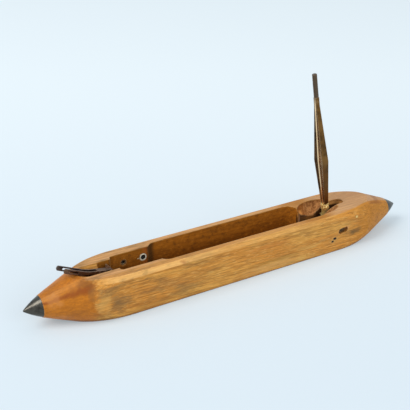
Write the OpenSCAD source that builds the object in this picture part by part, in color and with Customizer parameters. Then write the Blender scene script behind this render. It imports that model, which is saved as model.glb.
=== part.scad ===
// Power-loom shuttle: a hardwood body with steel tips, a hinged split spindle for the weft
// cop and a hinged two-prong yarn fork at the eye end. Millimetres, +Z up. The origin is the
// centre of the flat race face, +X points to the end that holds the spindle hinge.

/* [Body] */
// Length over both tip points
body_len = 406; // [390:1:430]
// Width over the side faces
body_w = 51.9; // [49:0.1:56]
// Height from the race face to the top face
body_h = 39.3; // [37:0.1:43]
// Height of the turning axis through both tips
axis_z = 18.4; // [17:0.1:20]
// Radius that the lathe leaves on the long edges
turn_r = 31.1; // [30:0.05:33]
// Radius of the arc where a nose begins
nose_arc_r = 120; // [90:5:160]
// Slope of a nose's straight cone
nose_slope = 22.5; // [20:0.5:26]

/* [Steel tips] */
// Length of a cone outside the wood
tip_len = 15; // [12:0.5:18]
// Radius of a cone at the wood
tip_r = 9.4; // [8:0.1:10]
// Radius of the blunted point
tip_point_r = 0.6; // [0.3:0.1:1.5]
// Radius of the arc that swells a cone
tip_arc_r = 75; // [60:5:150]
// Radius of the tang driven into the nose
tang_r = 3.5; // [2.5:0.1:4.5]
// Length of the tang
tang_len = 30; // [20:1:40]
// Step of the wood over the rim of a cone
nose_lip = 0.3; // [0.1:0.1:0.8]

/* [Spindle cavity] */
// Width between the long walls
cavity_w = 35.4; // [32:0.1:38]
// Thickness of the wood under the cavity
floor_t = 5; // [4:0.5:7]
// Radius of the cavity's upright corners
cavity_corner_r = 9; // [5:0.5:12]

/* [Eye pocket] */
// Length of the pocket in front of the cavity
eye_pocket_len = 38; // [34:0.5:44]
// Width of the pocket
eye_pocket_w = 27; // [24:0.5:30]
// Height of the pocket's floor
eye_pocket_z = 10; // [8:0.5:14]
// Radius of the pocket's upright corners
eye_pocket_r = 3; // [1:0.5:4]

/* [Fork pocket and groove] */
// Length of the pocket that holds the fork bracket
fork_pocket_len = 13.1; // [12.8:0.1:16]
// Width of the fork pocket
fork_pocket_w = 19; // [17:0.5:22]
// Height of the fork pocket's floor
fork_pocket_z = 20; // [18:0.5:22]
// Radius of the fork pocket's upright corners
fork_pocket_r = 2; // [1:0.5:4]
// Length of the groove from the fork pocket to its round end
groove_len = 23.4; // [20:0.2:28]
// Width of the groove at the top face
groove_w = 19; // [16:0.5:22]
// Depth of the groove below the top face
groove_depth = 7.4; // [7:0.1:8]
// Distance from the eye-end tip point to the groove's end
groove_setback = 48.5; // [46:0.5:50]

/* [Hinge slot] */
// Distance from the hinge-end tip point to the pivot
pivot_setback = 89; // [84:0.5:96]
// Height of the pivot above the race face
pivot_z = 21.3; // [20:0.1:23]
// Distance from the pivot to the cavity's end wall
neck_len = 32; // [28:0.5:36]
// Distance from the pivot to the slot's round end
slot_tail = 18.7; // [17:0.1:24]
// Width of the slot
slot_w = 10.4; // [10:0.1:12]
// Height of the slot's floor
slot_z = 6; // [5:0.1:6.5]
// Width of the scooped hollow at the top face
scoop_w = 32; // [26:0.5:34]
// Length of the scooped hollow at the top face
scoop_len = 45; // [40:0.5:48]
// Depth of the scooped hollow
scoop_depth = 11.5; // [8:0.5:12]
// Distance from the pivot back to the scoop's middle
scoop_offset = 11.5; // [8:0.5:14]
// Distance from the pivot back to where the scoop's floor starts to rise
rise_back = 13.5; // [12:0.5:16]
// Distance from the pivot back to the knee where the rise flattens
knee_back = 2; // [1:0.5:4]
// Depth of the scoop at the knee
knee_depth = 3.3; // [2.5:0.1:4]
// Distance from the pivot to the end of the rise at the top face
rise_end = 8.5; // [7:0.5:10]
// Radius of the finger relief cut along the front side of the scoop
relief_r = 11; // [7:0.5:11]
// Distance of the relief's axis in front of the middle
relief_side = 6.7; // [5:0.1:7]
// Distance from the cavity's end wall to the relief's round end
relief_len = 13; // [8:0.5:18]

/* [Spindle] */
// Length from the pivot to the point
spindle_len = 157; // [140:1:165]
// Lean from upright, towards the cavity, at rest
spindle_lean = 9.2; // [4:0.1:15]
// Radius of the round rod at the point
rod_r = 2.3; // [2:0.05:2.8]
// Rounding of the rod's end
rod_round = 0.8; // [0.3:0.1:1.5]
// Height at which the flat blade turns into the round rod
rod_start = 134; // [134:0.5:138]
// Thickness of the flat blade
blade_t = 1.6; // [1.4:0.1:2.2]
// Width of the blade and leaves at the belly
belly_w = 7.2; // [6:0.1:8]
// Width of the blade and leaves under the rod
shoulder_w = 4; // [3.6:0.1:4.6]
// Width of the blade and leaves at the foot
foot_w = 4.4; // [4:0.1:5]
// Height of the belly above the pivot
belly_u = 68; // [60:1:76]
// Height of the leaves' lower ends above the pivot
leaf_foot_u = 20.6; // [20.6:0.1:24]
// Height of the leaves' upper ends above the pivot
leaf_top_u = 133.8; // [131:0.1:133.8]
// Thickness of a spring leaf
leaf_t = 0.8; // [0.6:0.1:1]
// Distance over both leaves at the belly
belly_span = 13; // [11:0.1:14]
// Distance over both leaves at their feet
foot_span = 6.2; // [5.6:0.1:7]
// Length of the flat pad at the top of a leaf
pad_len = 8; // [6:0.5:10]
// Free play between a leaf's pad and the blade
pad_play = 0.12; // [0.1:0.01:0.2]
// Radius of the rivet through the pads
leaf_rivet_r = 0.9; // [0.7:0.05:1.1]

/* [Hub] */
// Radius of the hub about the pivot
hub_r = 8.7; // [7.5:0.1:9]
// Depth of the two flats that the spring bears on
hub_flat = 0.7; // [0.4:0.1:1]
// Thickness of the hub across the slot
hub_w = 9.4; // [8.4:0.1:9.6]
// Radius of the neck above the hub
neck_r = 3.6; // [3.3:0.1:4.4]
// Height of the neck above the pivot
neck_u = 14; // [12:0.5:16]
// Radius of the brass ferrule on the neck
ferrule_r = 3.9; // [3.6:0.1:4.4]
// Length of the ferrule
ferrule_len = 6; // [4:0.5:6]
// Depth of the blade's socket below the top of the neck
socket_depth = 7; // [5:0.5:8]
// Outer radius of the steel bush
bush_r = 3.5; // [3:0.1:4.2]
// Radius of the rivet through the ferrule
hub_rivet_r = 1.1; // [0.8:0.1:1.3]

/* [Pivot pin and nail] */
// Radius of the pivot pin
pin_r = 2.3; // [2:0.1:2.6]
// Running clearance between a pin and what turns on it
run_gap = 0.06; // [0.02:0.01:0.1]
// Length of the oval recess over the pin
recess_len = 11.5; // [8:0.5:13]
// Height of the oval recess
recess_h = 5.6; // [4.8:0.1:6]
// Depth of the recesses over the pin's ends
recess_depth = 2.5; // [1.5:0.1:4]
// Tilt of the oval recess
recess_tilt = 8; // [0:1:30]
// Distance of the oval recess's middle past the pin
recess_shift = 1; // [0:0.1:2]
// Radius of the brass nail beside the slot
nail_r = 0.8; // [0.6:0.1:1.5]
// Length of the nail
nail_len = 16; // [10:0.5:18]
// Distance from the slot's end to the nail
nail_back = 1.7; // [0:0.1:3]
// Height of the nail
nail_z = 32; // [29:0.5:33]

/* [Spindle spring] */
// Thickness of the flat spring
spring_t = 1.2; // [0.8:0.1:1.5]
// Width of the flat spring
spring_w = 9; // [7:0.5:9.5]
// Distance from the pivot back to the spring's foot end
spring_back = 29; // [26:0.5:31]
// Distance from the pivot to the spring's free end
spring_fore = 15; // [10:0.5:16]
// Gap between the spring's crest and the hub
spring_gap = 0.3; // [0.2:0.05:0.6]
// Radius of the bolt that holds the spring
bolt_r = 2; // [1.5:0.1:2.5]
// Width of the square nut
nut_w = 7; // [6:0.1:8]
// Height of the square nut
nut_h = 3; // [2:0.1:4]

/* [Yarn eyes] */
// Distance from the fork pocket's mouth to the porcelain eye
eye_x_offset = 34; // [30:0.5:35]
// Height of both yarn eyes
eye_z = 29.4; // [28:0.1:31]
// Outer radius of the porcelain eye
eye_r = 3.75; // [3.2:0.05:4.2]
// Radius of the hole in the porcelain eye
eye_bore_r = 2.1; // [1.2:0.05:2.4]
// Rounding of the porcelain rims
eye_round = 0.8; // [0.4:0.1:1.1]
// Distance from the fork pocket's mouth to the steel eyelet
eyelet_x_offset = 14.5; // [12:0.5:18]
// Outer radius of the steel eyelet
eyelet_r = 2.8; // [2.2:0.1:3.2]
// Radius of the hole in the steel eyelet
eyelet_bore_r = 1.6; // [1.2:0.1:1.8]
// Depth of the eyelet's inner end below the pocket wall
eyelet_sink = 0.8; // [0.4:0.1:1.5]
// Rounding of the eyelet's rims
eyelet_round = 0.4; // [0.2:0.1:0.5]
// Radius of the yarn groove on the back face
yarn_groove_r = 1.6; // [1:0.1:2]
// Depth of the yarn groove
yarn_groove_depth = 1.2; // [0.8:0.1:1.5]

/* [Yarn fork] */
// Distance from the fork pocket's mouth back to the fork pin
fork_pin_back = 4; // [3.5:0.5:5]
// Height of the fork pin above the race face
fork_pin_z = 31; // [30:0.1:32]
// Radius of the fork pin
fork_pin_r = 1.6; // [1.3:0.1:1.8]
// Radius of the fork's barrel
barrel_r = 3.2; // [2.8:0.1:3.5]
// Length of the barrel between the cheeks
barrel_len = 9.2; // [8:0.1:9.3]
// Height of the prongs
prong_h = 4.2; // [3.6:0.1:4.4]
// Thickness of a prong
prong_t = 1.2; // [0.9:0.1:1.4]
// Height of the prongs' middle line over the pin where they leave the barrel
prong_lift = 2.2; // [2:0.1:2.6]
// Slope of the prongs' straight root
root_slope = 10.5; // [9:0.5:13]
// Length of the prongs' straight root
root_len = 19; // [17:0.5:21]
// Slope of the prongs' straight ends
end_slope = 24.5; // [20:0.5:30]
// Radius of the bend between the root and the ends
bend_r = 34; // [28:1:40]
// Length of the prongs' straight ends
end_len = 18.6; // [17:0.2:20]
// Extra length of the far prong
far_extra = 5; // [0:0.5:6]
// Thickness of the tongue between the prongs
tongue_t = 3; // [2:0.1:3.4]
// Length of the tongue from the pin
tongue_len = 14; // [12:0.5:16]
// Distance between the prongs' middle planes at their ends
prong_spread = 4.8; // [4.2:0.1:8]
// Length of the eye in each prong
prong_eye_len = 9; // [6:0.5:10]
// Height of the eye in each prong
prong_eye_h = 2.1; // [1.6:0.1:2.4]
// Distance from the eye to the prong's end
prong_eye_end = 5.3; // [4:0.1:6]
// Radius of the fork's rivets
fork_rivet_r = 0.8; // [0.6:0.1:1]

/* [Fork bracket] */
// Thickness of the bracket's sheet
bracket_t = 1.5; // [1.2:0.1:1.7]
// Distance between the cheeks
bracket_gap = 9.5; // [9.4:0.1:10]
// Height of the cheeks above the pocket's floor
cheek_h = 17.4; // [16:0.1:18]
// Height of the cheeks at their low corner
cheek_low_h = 9.8; // [8:0.1:11]
// Setback of the cheeks' tops from the back end of the base
cheek_back = 6.9; // [6:0.1:7.2]
// Distance that the cheeks' feet reach back from their tops
cheek_foot = 2.5; // [2:0.1:4]
// Overhang of the cheeks past the base
cheek_fore = 1.9; // [0:0.1:2]
// Length of the cheeks' level top
cheek_top_len = 0.8; // [0.4:0.1:1.5]
// Length of the bracket's base
bracket_len = 12.6; // [12:0.1:13.5]
// Radius of the bracket screws' shanks
screw_r = 1.1; // [0.8:0.1:1.3]
// Length of the bracket screws in the wood
screw_len = 10; // [7:0.5:12]
// Radius of the bracket screws' heads
screw_head_r = 1.9; // [1.5:0.1:2]
// Thickness of the fork's flat spring
fork_spring_t = 0.6; // [0.4:0.1:0.8]

/* [Hidden] */

wood_color = [0.72, 0.50, 0.26];
steel_color = [0.25, 0.24, 0.24];
bronze_color = [0.36, 0.27, 0.20];
brass_color = [0.75, 0.58, 0.28];
porcelain_color = [0.93, 0.91, 0.86];

// Gap round a piece that is driven into the wood
drive_gap = 0.04;
// How far a cutter runs past the surface it opens
over = 1;

// Stations along X
half_len = body_len / 2;
wood_end = half_len - tip_len;
groove_end_x = -half_len + groove_setback;
fork_pocket_x = groove_end_x + groove_len;
eye_pocket_x = fork_pocket_x + fork_pocket_len;
cavity_front_x = eye_pocket_x + eye_pocket_len;
pivot_x = half_len - pivot_setback;
cavity_rear_x = pivot_x - neck_len;
slot_end_x = pivot_x + slot_tail;
eye_x = eye_pocket_x + eye_x_offset;
eyelet_x = eye_pocket_x + eyelet_x_offset;
nail_x = slot_end_x - nail_back;
fork_x = eye_pocket_x - fork_pin_back;

// Profile of a nose: an arc, then a cone down to the rim of the steel tip
nose_end_r = tip_r + nose_lip;
cone_r = turn_r - nose_arc_r * (1 - cos(nose_slope));
cone_x = wood_end - (cone_r - nose_end_r) / tan(nose_slope);
nose_x = cone_x - nose_arc_r * sin(nose_slope);

// Radius of the groove and of its spherical end
groove_r = (pow(groove_w / 2, 2) + pow(groove_depth, 2)) / (2 * groove_depth);
groove_axis_z = body_h - groove_depth + groove_r;

// Lengths of the yarn eyes in the back wall
wall_t = (body_w - eye_pocket_w) / 2;
eye_rim = min(eye_round, (eye_r - eye_bore_r) / 2 - 0.05);
eye_proud = 0.45;
eye_len = wall_t - yarn_groove_depth + 2 * eye_proud;
eyelet_len = wall_t - yarn_groove_depth - eyelet_sink;

// Spindle spring: height of its crest, length of its foot, share of its length up to the crest
crest_z = pivot_z - hub_r - spring_gap - spring_t;
spring_steps = 24;
spring_foot_len = 10;
spring_drop = 2.2;
crest_share = 0.6;
bolt_x = pivot_x - spring_back + spring_foot_len / 2;

// Pins and rivet heads
pin_end_y = body_w / 2 - recess_depth;
rivet_head_t = 0.6;
rivet_head_grow = 0.7;
nail_head_t = 0.8;
nail_head_grow = 0.5;
nail_head_y = body_w / 2 - 0.1;

// Leaf pads and the ferrule's rivet, as heights above the pivot and distances from the blade's middle
ferrule_mid_u = neck_u + ferrule_len / 2;
leaf_pad_u = leaf_top_u - pad_len / 2;
leaf_out_y = blade_t / 2 + pad_play + leaf_t;
leaf_head_t = 0.5;

// Fork stations: the spine is measured from the fork pin, towards the eye-end tip
bend_len = bend_r * (end_slope - root_slope) * PI / 180;
spine_len = root_len + bend_len + end_len;
spine_steps = 10;
barrel_reach = 1.5;
prong_end_r = 0.65 * prong_h;
cheek_y = bracket_gap / 2;

rivet_near_s = 7;
rivet_far_back = 2.5;

// Screws of the bracket: domed heads, with a gap beside and behind them
screw_gap = 0.5;
screw_x = fork_pocket_x + screw_head_r + 0.7;
screw_places = [for (s = [-1, 1]) [screw_x, s * (screw_head_r + screw_gap)]];
screw_dome_r = screw_head_r * 1.08;
screw_dome_sink = screw_head_r * 0.4;

// Gaps at the sides and at the back of the fork's spring
spring_side_gap = 0.3;
spring_past_pin = 0.3;

// Screwdriver slots and the bolt's head
slot_cut_w = 0.6;
slot_cut_depth = 0.6;
bolt_head_r = bolt_r * 2;
bolt_head_t = bolt_r;

// Rounded rectangle from x0 to x1, centred on the X axis
module rounded_rect(x0, x1, w, r) {
    translate([x0 + r, -w / 2])
        square([x1 - x0 - 2 * r, w]);
    translate([x0, -w / 2 + r])
        square([x1 - x0, w - 2 * r]);
    for (x = [x0 + r, x1 - r], y = [-w / 2 + r, w / 2 - r])
        translate([x, y])
            circle(r = r, $fn = 48);
}

// Straight slot with round ends, centred on the origin and lying along X
module obround(l, w) {
    square([l - w, w], center = true);
    for (s = [-1, 1])
        translate([s * (l - w) / 2, 0])
            circle(r = w / 2, $fn = 48);
}

// Cylinder from y0 to y1 along the Y axis, about the point x, z
module rod_y(x, z, y0, y1, r, fn = 64) {
    translate([x, y0, z])
        rotate([-90, 0, 0])
            cylinder(r = r, h = y1 - y0, $fn = fn);
}

// Half of the lathe's outline: radius along X, station along Y
module turned_outline() {
    translate([0, -nose_x])
        square([turn_r, 2 * nose_x]);
    for (s = [-1, 1])
        scale([1, s]) {
            intersection() {
                translate([turn_r - nose_arc_r, nose_x])
                    circle(r = nose_arc_r, $fn = 360);
                translate([0, nose_x])
                    square([turn_r, cone_x - nose_x]);
            }
            polygon([[0, cone_x], [cone_r, cone_x], [nose_end_r, wood_end], [0, wood_end]]);
        }
}

// Plank turned between centres, which rounds its noses and eases its long edges
module body_blank() {
    intersection() {
        translate([-wood_end, -body_w / 2, 0])
            cube([2 * wood_end, body_w, body_h]);
        translate([0, 0, axis_z])
            rotate([0, 90, 0])
                rotate_extrude($fn = 180)
                    turned_outline();
    }
}

// Open pocket cut down from the top face
module top_pocket(x0, x1, w, r, z) {
    translate([0, 0, z])
        linear_extrude(body_h - z + over)
            rounded_rect(x0, x1, w, r);
}

// Round-bottomed groove that the fork lies in
module fork_groove() {
    x0 = groove_end_x + groove_w / 2;
    translate([x0, 0, groove_axis_z]) {
        sphere(r = groove_r, $fn = 96);
        rotate([0, 90, 0])
            cylinder(r = groove_r, h = fork_pocket_x - x0 + over, $fn = 96);
    }
}

// Side view of the scoop, seen along Y: its floor rises past the hub in two slopes
module scoop_profile() {
    polygon([[-scoop_len, over], [-scoop_len, -scoop_depth - over],
        [-rise_back, -scoop_depth - over], [-rise_back, -scoop_depth],
        [-knee_back, -knee_depth], [rise_end, 0], [rise_end, over]]);
}

// Scooped hollow that lets fingers and the cop reach the hinge
module hinge_scoop() {
    intersection() {
        translate([pivot_x - scoop_offset, 0, body_h])
            scale([scoop_len / 2, scoop_w / 2, scoop_depth])
                sphere(r = 1, $fn = 120);
        translate([pivot_x, scoop_w, body_h])
            rotate([90, 0, 0])
                linear_extrude(2 * scoop_w)
                    scoop_profile();
    }
}

// Round-bottomed relief that runs from the cavity into the scoop along its front side
module finger_relief() {
    translate([cavity_rear_x + relief_len, -relief_side, body_h]) {
        sphere(r = relief_r, $fn = 96);
        rotate([0, -90, 0])
            cylinder(r = relief_r, h = relief_len + cavity_corner_r, $fn = 96);
    }
}

// Slot that the hub swings in, open to the cavity
module hinge_slot() {
    x0 = cavity_rear_x - cavity_corner_r;
    translate([0, 0, slot_z])
        linear_extrude(body_h - slot_z + over) {
            translate([x0, -slot_w / 2])
                square([slot_end_x - slot_w / 2 - x0, slot_w]);
            translate([slot_end_x - slot_w / 2, 0])
                circle(r = slot_w / 2, $fn = 64);
        }
}

// Pin hole through the body with an oval recess in front and a round one behind
module pivot_holes() {
    rod_y(pivot_x, pivot_z, -pin_end_y - over, pin_end_y + over, pin_r + drive_gap);
    translate([pivot_x + recess_shift, -pin_end_y, pivot_z])
        rotate([90, -recess_tilt, 0])
            linear_extrude(recess_depth + over)
                obround(recess_len, recess_h);
    rod_y(pivot_x, pivot_z, pin_end_y, pin_end_y + recess_depth + over, recess_h / 2);
}

// Hole and head sink of the nail
module nail_hole() {
    rod_y(nail_x, nail_z, -body_w / 2 - over, nail_len - nail_head_y, nail_r + drive_gap);
    rod_y(nail_x, nail_z, -body_w / 2 - over, nail_head_t - nail_head_y,
        nail_r + nail_head_grow);
}

// Holes of the two yarn eyes and the groove that carries the yarn along the back face
module eye_holes() {
    y0 = eye_pocket_w / 2 - over;
    y1 = body_w / 2 + over;
    rod_y(eye_x, eye_z, y0, y1, eye_r + drive_gap);
    rod_y(eyelet_x, eye_z, y0, y1, eyelet_r + drive_gap);
    translate([groove_end_x, body_w / 2 + yarn_groove_r - yarn_groove_depth, eye_z])
        rotate([0, 90, 0])
            cylinder(r = yarn_groove_r, h = eye_x - groove_end_x, $fn = 48);
    for (x = [groove_end_x, eye_x])
        translate([x, body_w / 2 + yarn_groove_r - yarn_groove_depth, eye_z])
            sphere(r = yarn_groove_r, $fn = 48);
}

// Holes in the wood for the spring bolt, the bracket screws and the tangs
module fastener_holes() {
    translate([bolt_x, 0, -over]) {
        cylinder(r = bolt_r + drive_gap, h = slot_z + 2 * over, $fn = 48);
        cylinder(r = bolt_head_r + drive_gap, h = over, $fn = 48);
    }
    translate([bolt_x, 0, 0])
        cylinder(r1 = bolt_head_r + drive_gap, r2 = bolt_r + drive_gap, h = bolt_head_t, $fn = 48);
    for (p = screw_places)
        translate([p[0], p[1], fork_pocket_z - screw_len])
            cylinder(r = screw_r + drive_gap, h = screw_len + over, $fn = 32);
    for (s = [-1, 1])
        translate([s * (wood_end - tang_len - drive_gap), 0, axis_z])
            rotate([0, s * 90, 0])
                cylinder(r = tang_r + drive_gap, h = tang_len + over, $fn = 64);
}

// Wooden body with every pocket, slot and hole
module shuttle_body() {
    color(wood_color)
        difference() {
            body_blank();
            top_pocket(cavity_front_x, cavity_rear_x, cavity_w, cavity_corner_r, floor_t);
            top_pocket(eye_pocket_x, cavity_front_x + cavity_corner_r, eye_pocket_w, eye_pocket_r,
                eye_pocket_z);
            top_pocket(fork_pocket_x, eye_pocket_x + 2 * fork_pocket_r + over, fork_pocket_w,
                fork_pocket_r, fork_pocket_z);
            fork_groove();
            hinge_scoop();
            finger_relief();
            hinge_slot();
            pivot_holes();
            nail_hole();
            eye_holes();
            fastener_holes();
        }
}

// Outline of a cone and its tang: radius along X, height along Y
module tip_outline() {
    rise = [tip_point_r - tip_r, tip_len];
    chord = norm(rise);
    inward = sqrt(pow(tip_arc_r, 2) - pow(chord / 2, 2)) / chord;
    intersection() {
        translate([(tip_r + tip_point_r) / 2 - inward * rise[1], tip_len / 2 + inward * rise[0]])
            circle(r = tip_arc_r, $fn = 360);
        square([tip_r, tip_len]);
    }
    translate([0, -tang_len])
        square([tang_r, tang_len]);
}

// Swelled steel cone with its tang
module steel_tip(side) {
    color(steel_color)
        translate([side * wood_end, 0, axis_z])
            rotate([0, side * 90, 0])
                rotate_extrude($fn = 96)
                    tip_outline();
}

module tip_eye_end() {
    steel_tip(-1);
}

module tip_hinge_end() {
    steel_tip(1);
}

// Tube with rounded rims, from the pocket wall outwards along Y
module eye_tube(x, y0, l, r_out, r_in, round_r) {
    translate([x, y0, eye_z])
        rotate([-90, 0, 0])
            rotate_extrude($fn = 64) {
                translate([r_in, round_r])
                    square([r_out - r_in, l - 2 * round_r]);
                translate([r_in + round_r, 0])
                    square([r_out - r_in - 2 * round_r, l]);
                for (r = [r_in + round_r, r_out - round_r], y = [round_r, l - round_r])
                    translate([r, y])
                        circle(r = round_r, $fn = 32);
            }
}

// Porcelain eye that leads the yarn out through the back wall
module porcelain_eye() {
    color(porcelain_color)
        eye_tube(eye_x, eye_pocket_w / 2 - eye_proud, eye_len, eye_r, eye_bore_r, eye_rim);
}

// Smaller steel eyelet beside it
module steel_eyelet() {
    color(steel_color)
        eye_tube(eyelet_x, eye_pocket_w / 2 + eyelet_sink, eyelet_len, eyelet_r, eyelet_bore_r,
            eyelet_round);
}

// Steel pin that the hub turns on
module pivot_pin() {
    color(steel_color)
        rod_y(pivot_x, pivot_z, -pin_end_y, pin_end_y, pin_r);
}

// Brass nail that keeps the front cheek of the slot from splitting
module brass_nail() {
    color(brass_color) {
        rod_y(nail_x, nail_z, -nail_head_y, nail_len - nail_head_y - drive_gap, nail_r, 48);
        rod_y(nail_x, nail_z, -nail_head_y, nail_head_t - nail_head_y - drive_gap,
            nail_r + nail_head_grow - drive_gap, 48);
    }
}

// Height of the spindle spring's lower face, at a share of its sprung length from the foot
function spring_rise(t) =
    t < crest_share
        ? (crest_z - slot_z) * (1 - cos(180 * t / crest_share)) / 2
        : crest_z - slot_z - spring_drop * (1 - cos(90 * (t - crest_share) / (1 - crest_share)));

// Flat steel spring under the hub
module spindle_spring() {
    x0 = pivot_x - spring_back;
    x1 = x0 + spring_foot_len;
    x2 = pivot_x + spring_fore;
    lower = [for (i = [0 : spring_steps])
        [x1 + (x2 - x1) * i / spring_steps, slot_z + spring_rise(i / spring_steps)]];
    upper = [for (i = [spring_steps : -1 : 0]) lower[i] + [0, spring_t]];
    color(steel_color)
        difference() {
            translate([0, spring_w / 2, 0])
                rotate([90, 0, 0])
                    linear_extrude(spring_w)
                        polygon(concat([[x0, slot_z]], lower, upper, [[x0, slot_z + spring_t]]));
            translate([bolt_x, 0, slot_z - over])
                cylinder(r = bolt_r + run_gap, h = spring_t + 2 * over, $fn = 48);
        }
}

// Countersunk bolt through the floor of the slot
module spring_bolt() {
    color(steel_color)
        difference() {
            translate([bolt_x, 0, 0]) {
                cylinder(r1 = bolt_head_r, r2 = bolt_r, h = bolt_head_t, $fn = 48);
                cylinder(r = bolt_r, h = slot_z + spring_t + nut_h + over, $fn = 48);
            }
            translate([bolt_x - bolt_head_r - over, -slot_cut_w / 2, -over])
                cube([2 * (bolt_head_r + over), slot_cut_w, slot_cut_depth + over]);
        }
}

// Square nut on the spring's foot
module spring_nut() {
    color(steel_color)
        translate([bolt_x, 0, slot_z + spring_t])
            difference() {
                translate([-nut_w / 2, -nut_w / 2, 0])
                    cube([nut_w, nut_w, nut_h]);
                translate([0, 0, -over])
                    cylinder(r = bolt_r + run_gap, h = nut_h + 2 * over, $fn = 48);
            }
}

// Places a spindle piece: its own Z runs up the spindle from the pivot
module on_spindle() {
    translate([pivot_x, 0, pivot_z])
        rotate([0, -spindle_lean, 0])
            children();
}

// Lance-shaped outline of the blade and leaves, seen along Y: across along X, up along Y
module lance_outline(u0, u1) {
    pts = [[foot_w / 2, u0], [foot_w / 2, leaf_foot_u], [belly_w / 2, belly_u],
        [shoulder_w / 2, leaf_top_u - pad_len], [shoulder_w / 2, u1]];
    polygon(concat(pts, [for (i = [len(pts) - 1 : -1 : 0]) [-pts[i][0], pts[i][1]]]));
}

// Brass hub: a boss with a flat for the spring in each resting pose, and the blade's socket
module spindle_hub() {
    color(brass_color)
        on_spindle()
            difference() {
                union() {
                    rod_y(0, 0, -hub_w / 2, hub_w / 2, hub_r, 96);
                    cylinder(r = neck_r, h = neck_u, $fn = 64);
                }
                rod_y(0, 0, -hub_w, hub_w, bush_r);
                for (a = [spindle_lean, 90])
                    rotate([0, a, 0])
                        translate([-2 * hub_r, -hub_w, -2 * hub_r])
                            cube([4 * hub_r, 2 * hub_w, hub_r + hub_flat]);
                translate([-foot_w / 2, -blade_t / 2, neck_u - socket_depth])
                    cube([foot_w, blade_t, socket_depth + over]);
            }
}

// Steel bush pressed into the hub
module hub_bush() {
    color(steel_color)
        on_spindle()
            difference() {
                rod_y(0, 0, -hub_w / 2, hub_w / 2, bush_r);
                rod_y(0, 0, -hub_w, hub_w, pin_r + run_gap);
            }
}

// Brass ferrule that clamps the blade above the neck
module hub_ferrule() {
    color(brass_color)
        on_spindle()
            difference() {
                translate([0, 0, neck_u])
                    cylinder(r = ferrule_r, h = ferrule_len, $fn = 64);
                translate([-foot_w / 2, -blade_t / 2, neck_u - over])
                    cube([foot_w, blade_t, ferrule_len + 2 * over]);
                rod_y(0, ferrule_mid_u, -2 * ferrule_r, 2 * ferrule_r, hub_rivet_r, 48);
            }
}

// Rivet through the ferrule and the blade's foot
module hub_rivet() {
    color(brass_color)
        on_spindle() {
            rod_y(0, ferrule_mid_u, -ferrule_r - rivet_head_t, ferrule_r + rivet_head_t,
                hub_rivet_r, 48);
            for (s = [-1, 1])
                scale([1, s, 1])
                    rod_y(0, ferrule_mid_u, ferrule_r, ferrule_r + rivet_head_t,
                        hub_rivet_r + rivet_head_grow, 48);
        }
}

// Half outline of the round rod and its rounded end
module rod_outline() {
    translate([0, rod_start])
        square([rod_r, spindle_len - rod_start - rod_round]);
    translate([0, rod_start])
        square([rod_r - rod_round, spindle_len - rod_start]);
    translate([rod_r - rod_round, spindle_len - rod_round])
        circle(r = rod_round, $fn = 32);
}

// Blade: flat and lance-shaped below, a round rod above
module spindle_blade() {
    color(bronze_color)
        on_spindle()
            difference() {
                union() {
                    translate([0, blade_t / 2, 0])
                        rotate([90, 0, 0])
                            linear_extrude(blade_t)
                                lance_outline(neck_u - socket_depth, rod_start + over);
                    rotate_extrude($fn = 64)
                        rod_outline();
                }
                rod_y(0, leaf_pad_u, -belly_w, belly_w, leaf_rivet_r, 48);
                rod_y(0, ferrule_mid_u, -belly_w, belly_w, hub_rivet_r, 48);
            }
}

// Side view of a bowed leaf, on the +Y side: across along X, up along Y
module leaf_section() {
    inner = blade_t / 2 + pad_play;
    outer = [[foot_span / 2, leaf_foot_u], [belly_span / 2, belly_u],
        [inner + leaf_t, leaf_top_u - pad_len], [inner + leaf_t, leaf_top_u]];
    polygon(concat(outer, [for (i = [3 : -1 : 0]) outer[i] - [leaf_t, 0]]));
}

// Spring leaf on one side of the blade, bowed outwards
module spring_leaf(side) {
    color(bronze_color)
        on_spindle()
            difference() {
                intersection() {
                    translate([0, belly_w, 0])
                        rotate([90, 0, 0])
                            linear_extrude(2 * belly_w)
                                lance_outline(neck_u, leaf_top_u);
                    translate([-belly_w, 0, 0])
                        rotate([90, 0, 90])
                            linear_extrude(2 * belly_w)
                                scale([side, 1])
                                    leaf_section();
                }
                rod_y(0, leaf_pad_u, -belly_w, belly_w, leaf_rivet_r + pad_play, 48);
                scale([1, side, 1])
                    leaf_rivet_head(pad_play);
            }
}

module leaf_near() {
    spring_leaf(-1);
}

module leaf_far() {
    spring_leaf(1);
}

// Countersunk head of the rivet, on the +Y side
module leaf_rivet_head(gap) {
    translate([0, leaf_out_y - leaf_head_t, leaf_pad_u])
        rotate([-90, 0, 0])
            cylinder(r1 = leaf_rivet_r + gap, r2 = leaf_rivet_r + leaf_head_t + gap,
                h = leaf_head_t, $fn = 48);
}

// Rivet that holds both pads to the blade
module leaf_rivet() {
    color(bronze_color)
        on_spindle() {
            rod_y(0, leaf_pad_u, -leaf_out_y, leaf_out_y, leaf_rivet_r, 48);
            for (s = [-1, 1])
                scale([1, s, 1])
                    leaf_rivet_head(0);
        }
}

// Side view of a bracket cheek: station along X, height along Y
module cheek_outline() {
    x1 = fork_pocket_x + drive_gap + cheek_back;
    x2 = fork_pocket_x + drive_gap + bracket_len + cheek_fore;
    polygon([[x1 - cheek_foot, 0], [x2, 0], [x2, cheek_low_h], [x1 + cheek_top_len, cheek_h],
        [x1, cheek_h]]);
}

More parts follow.
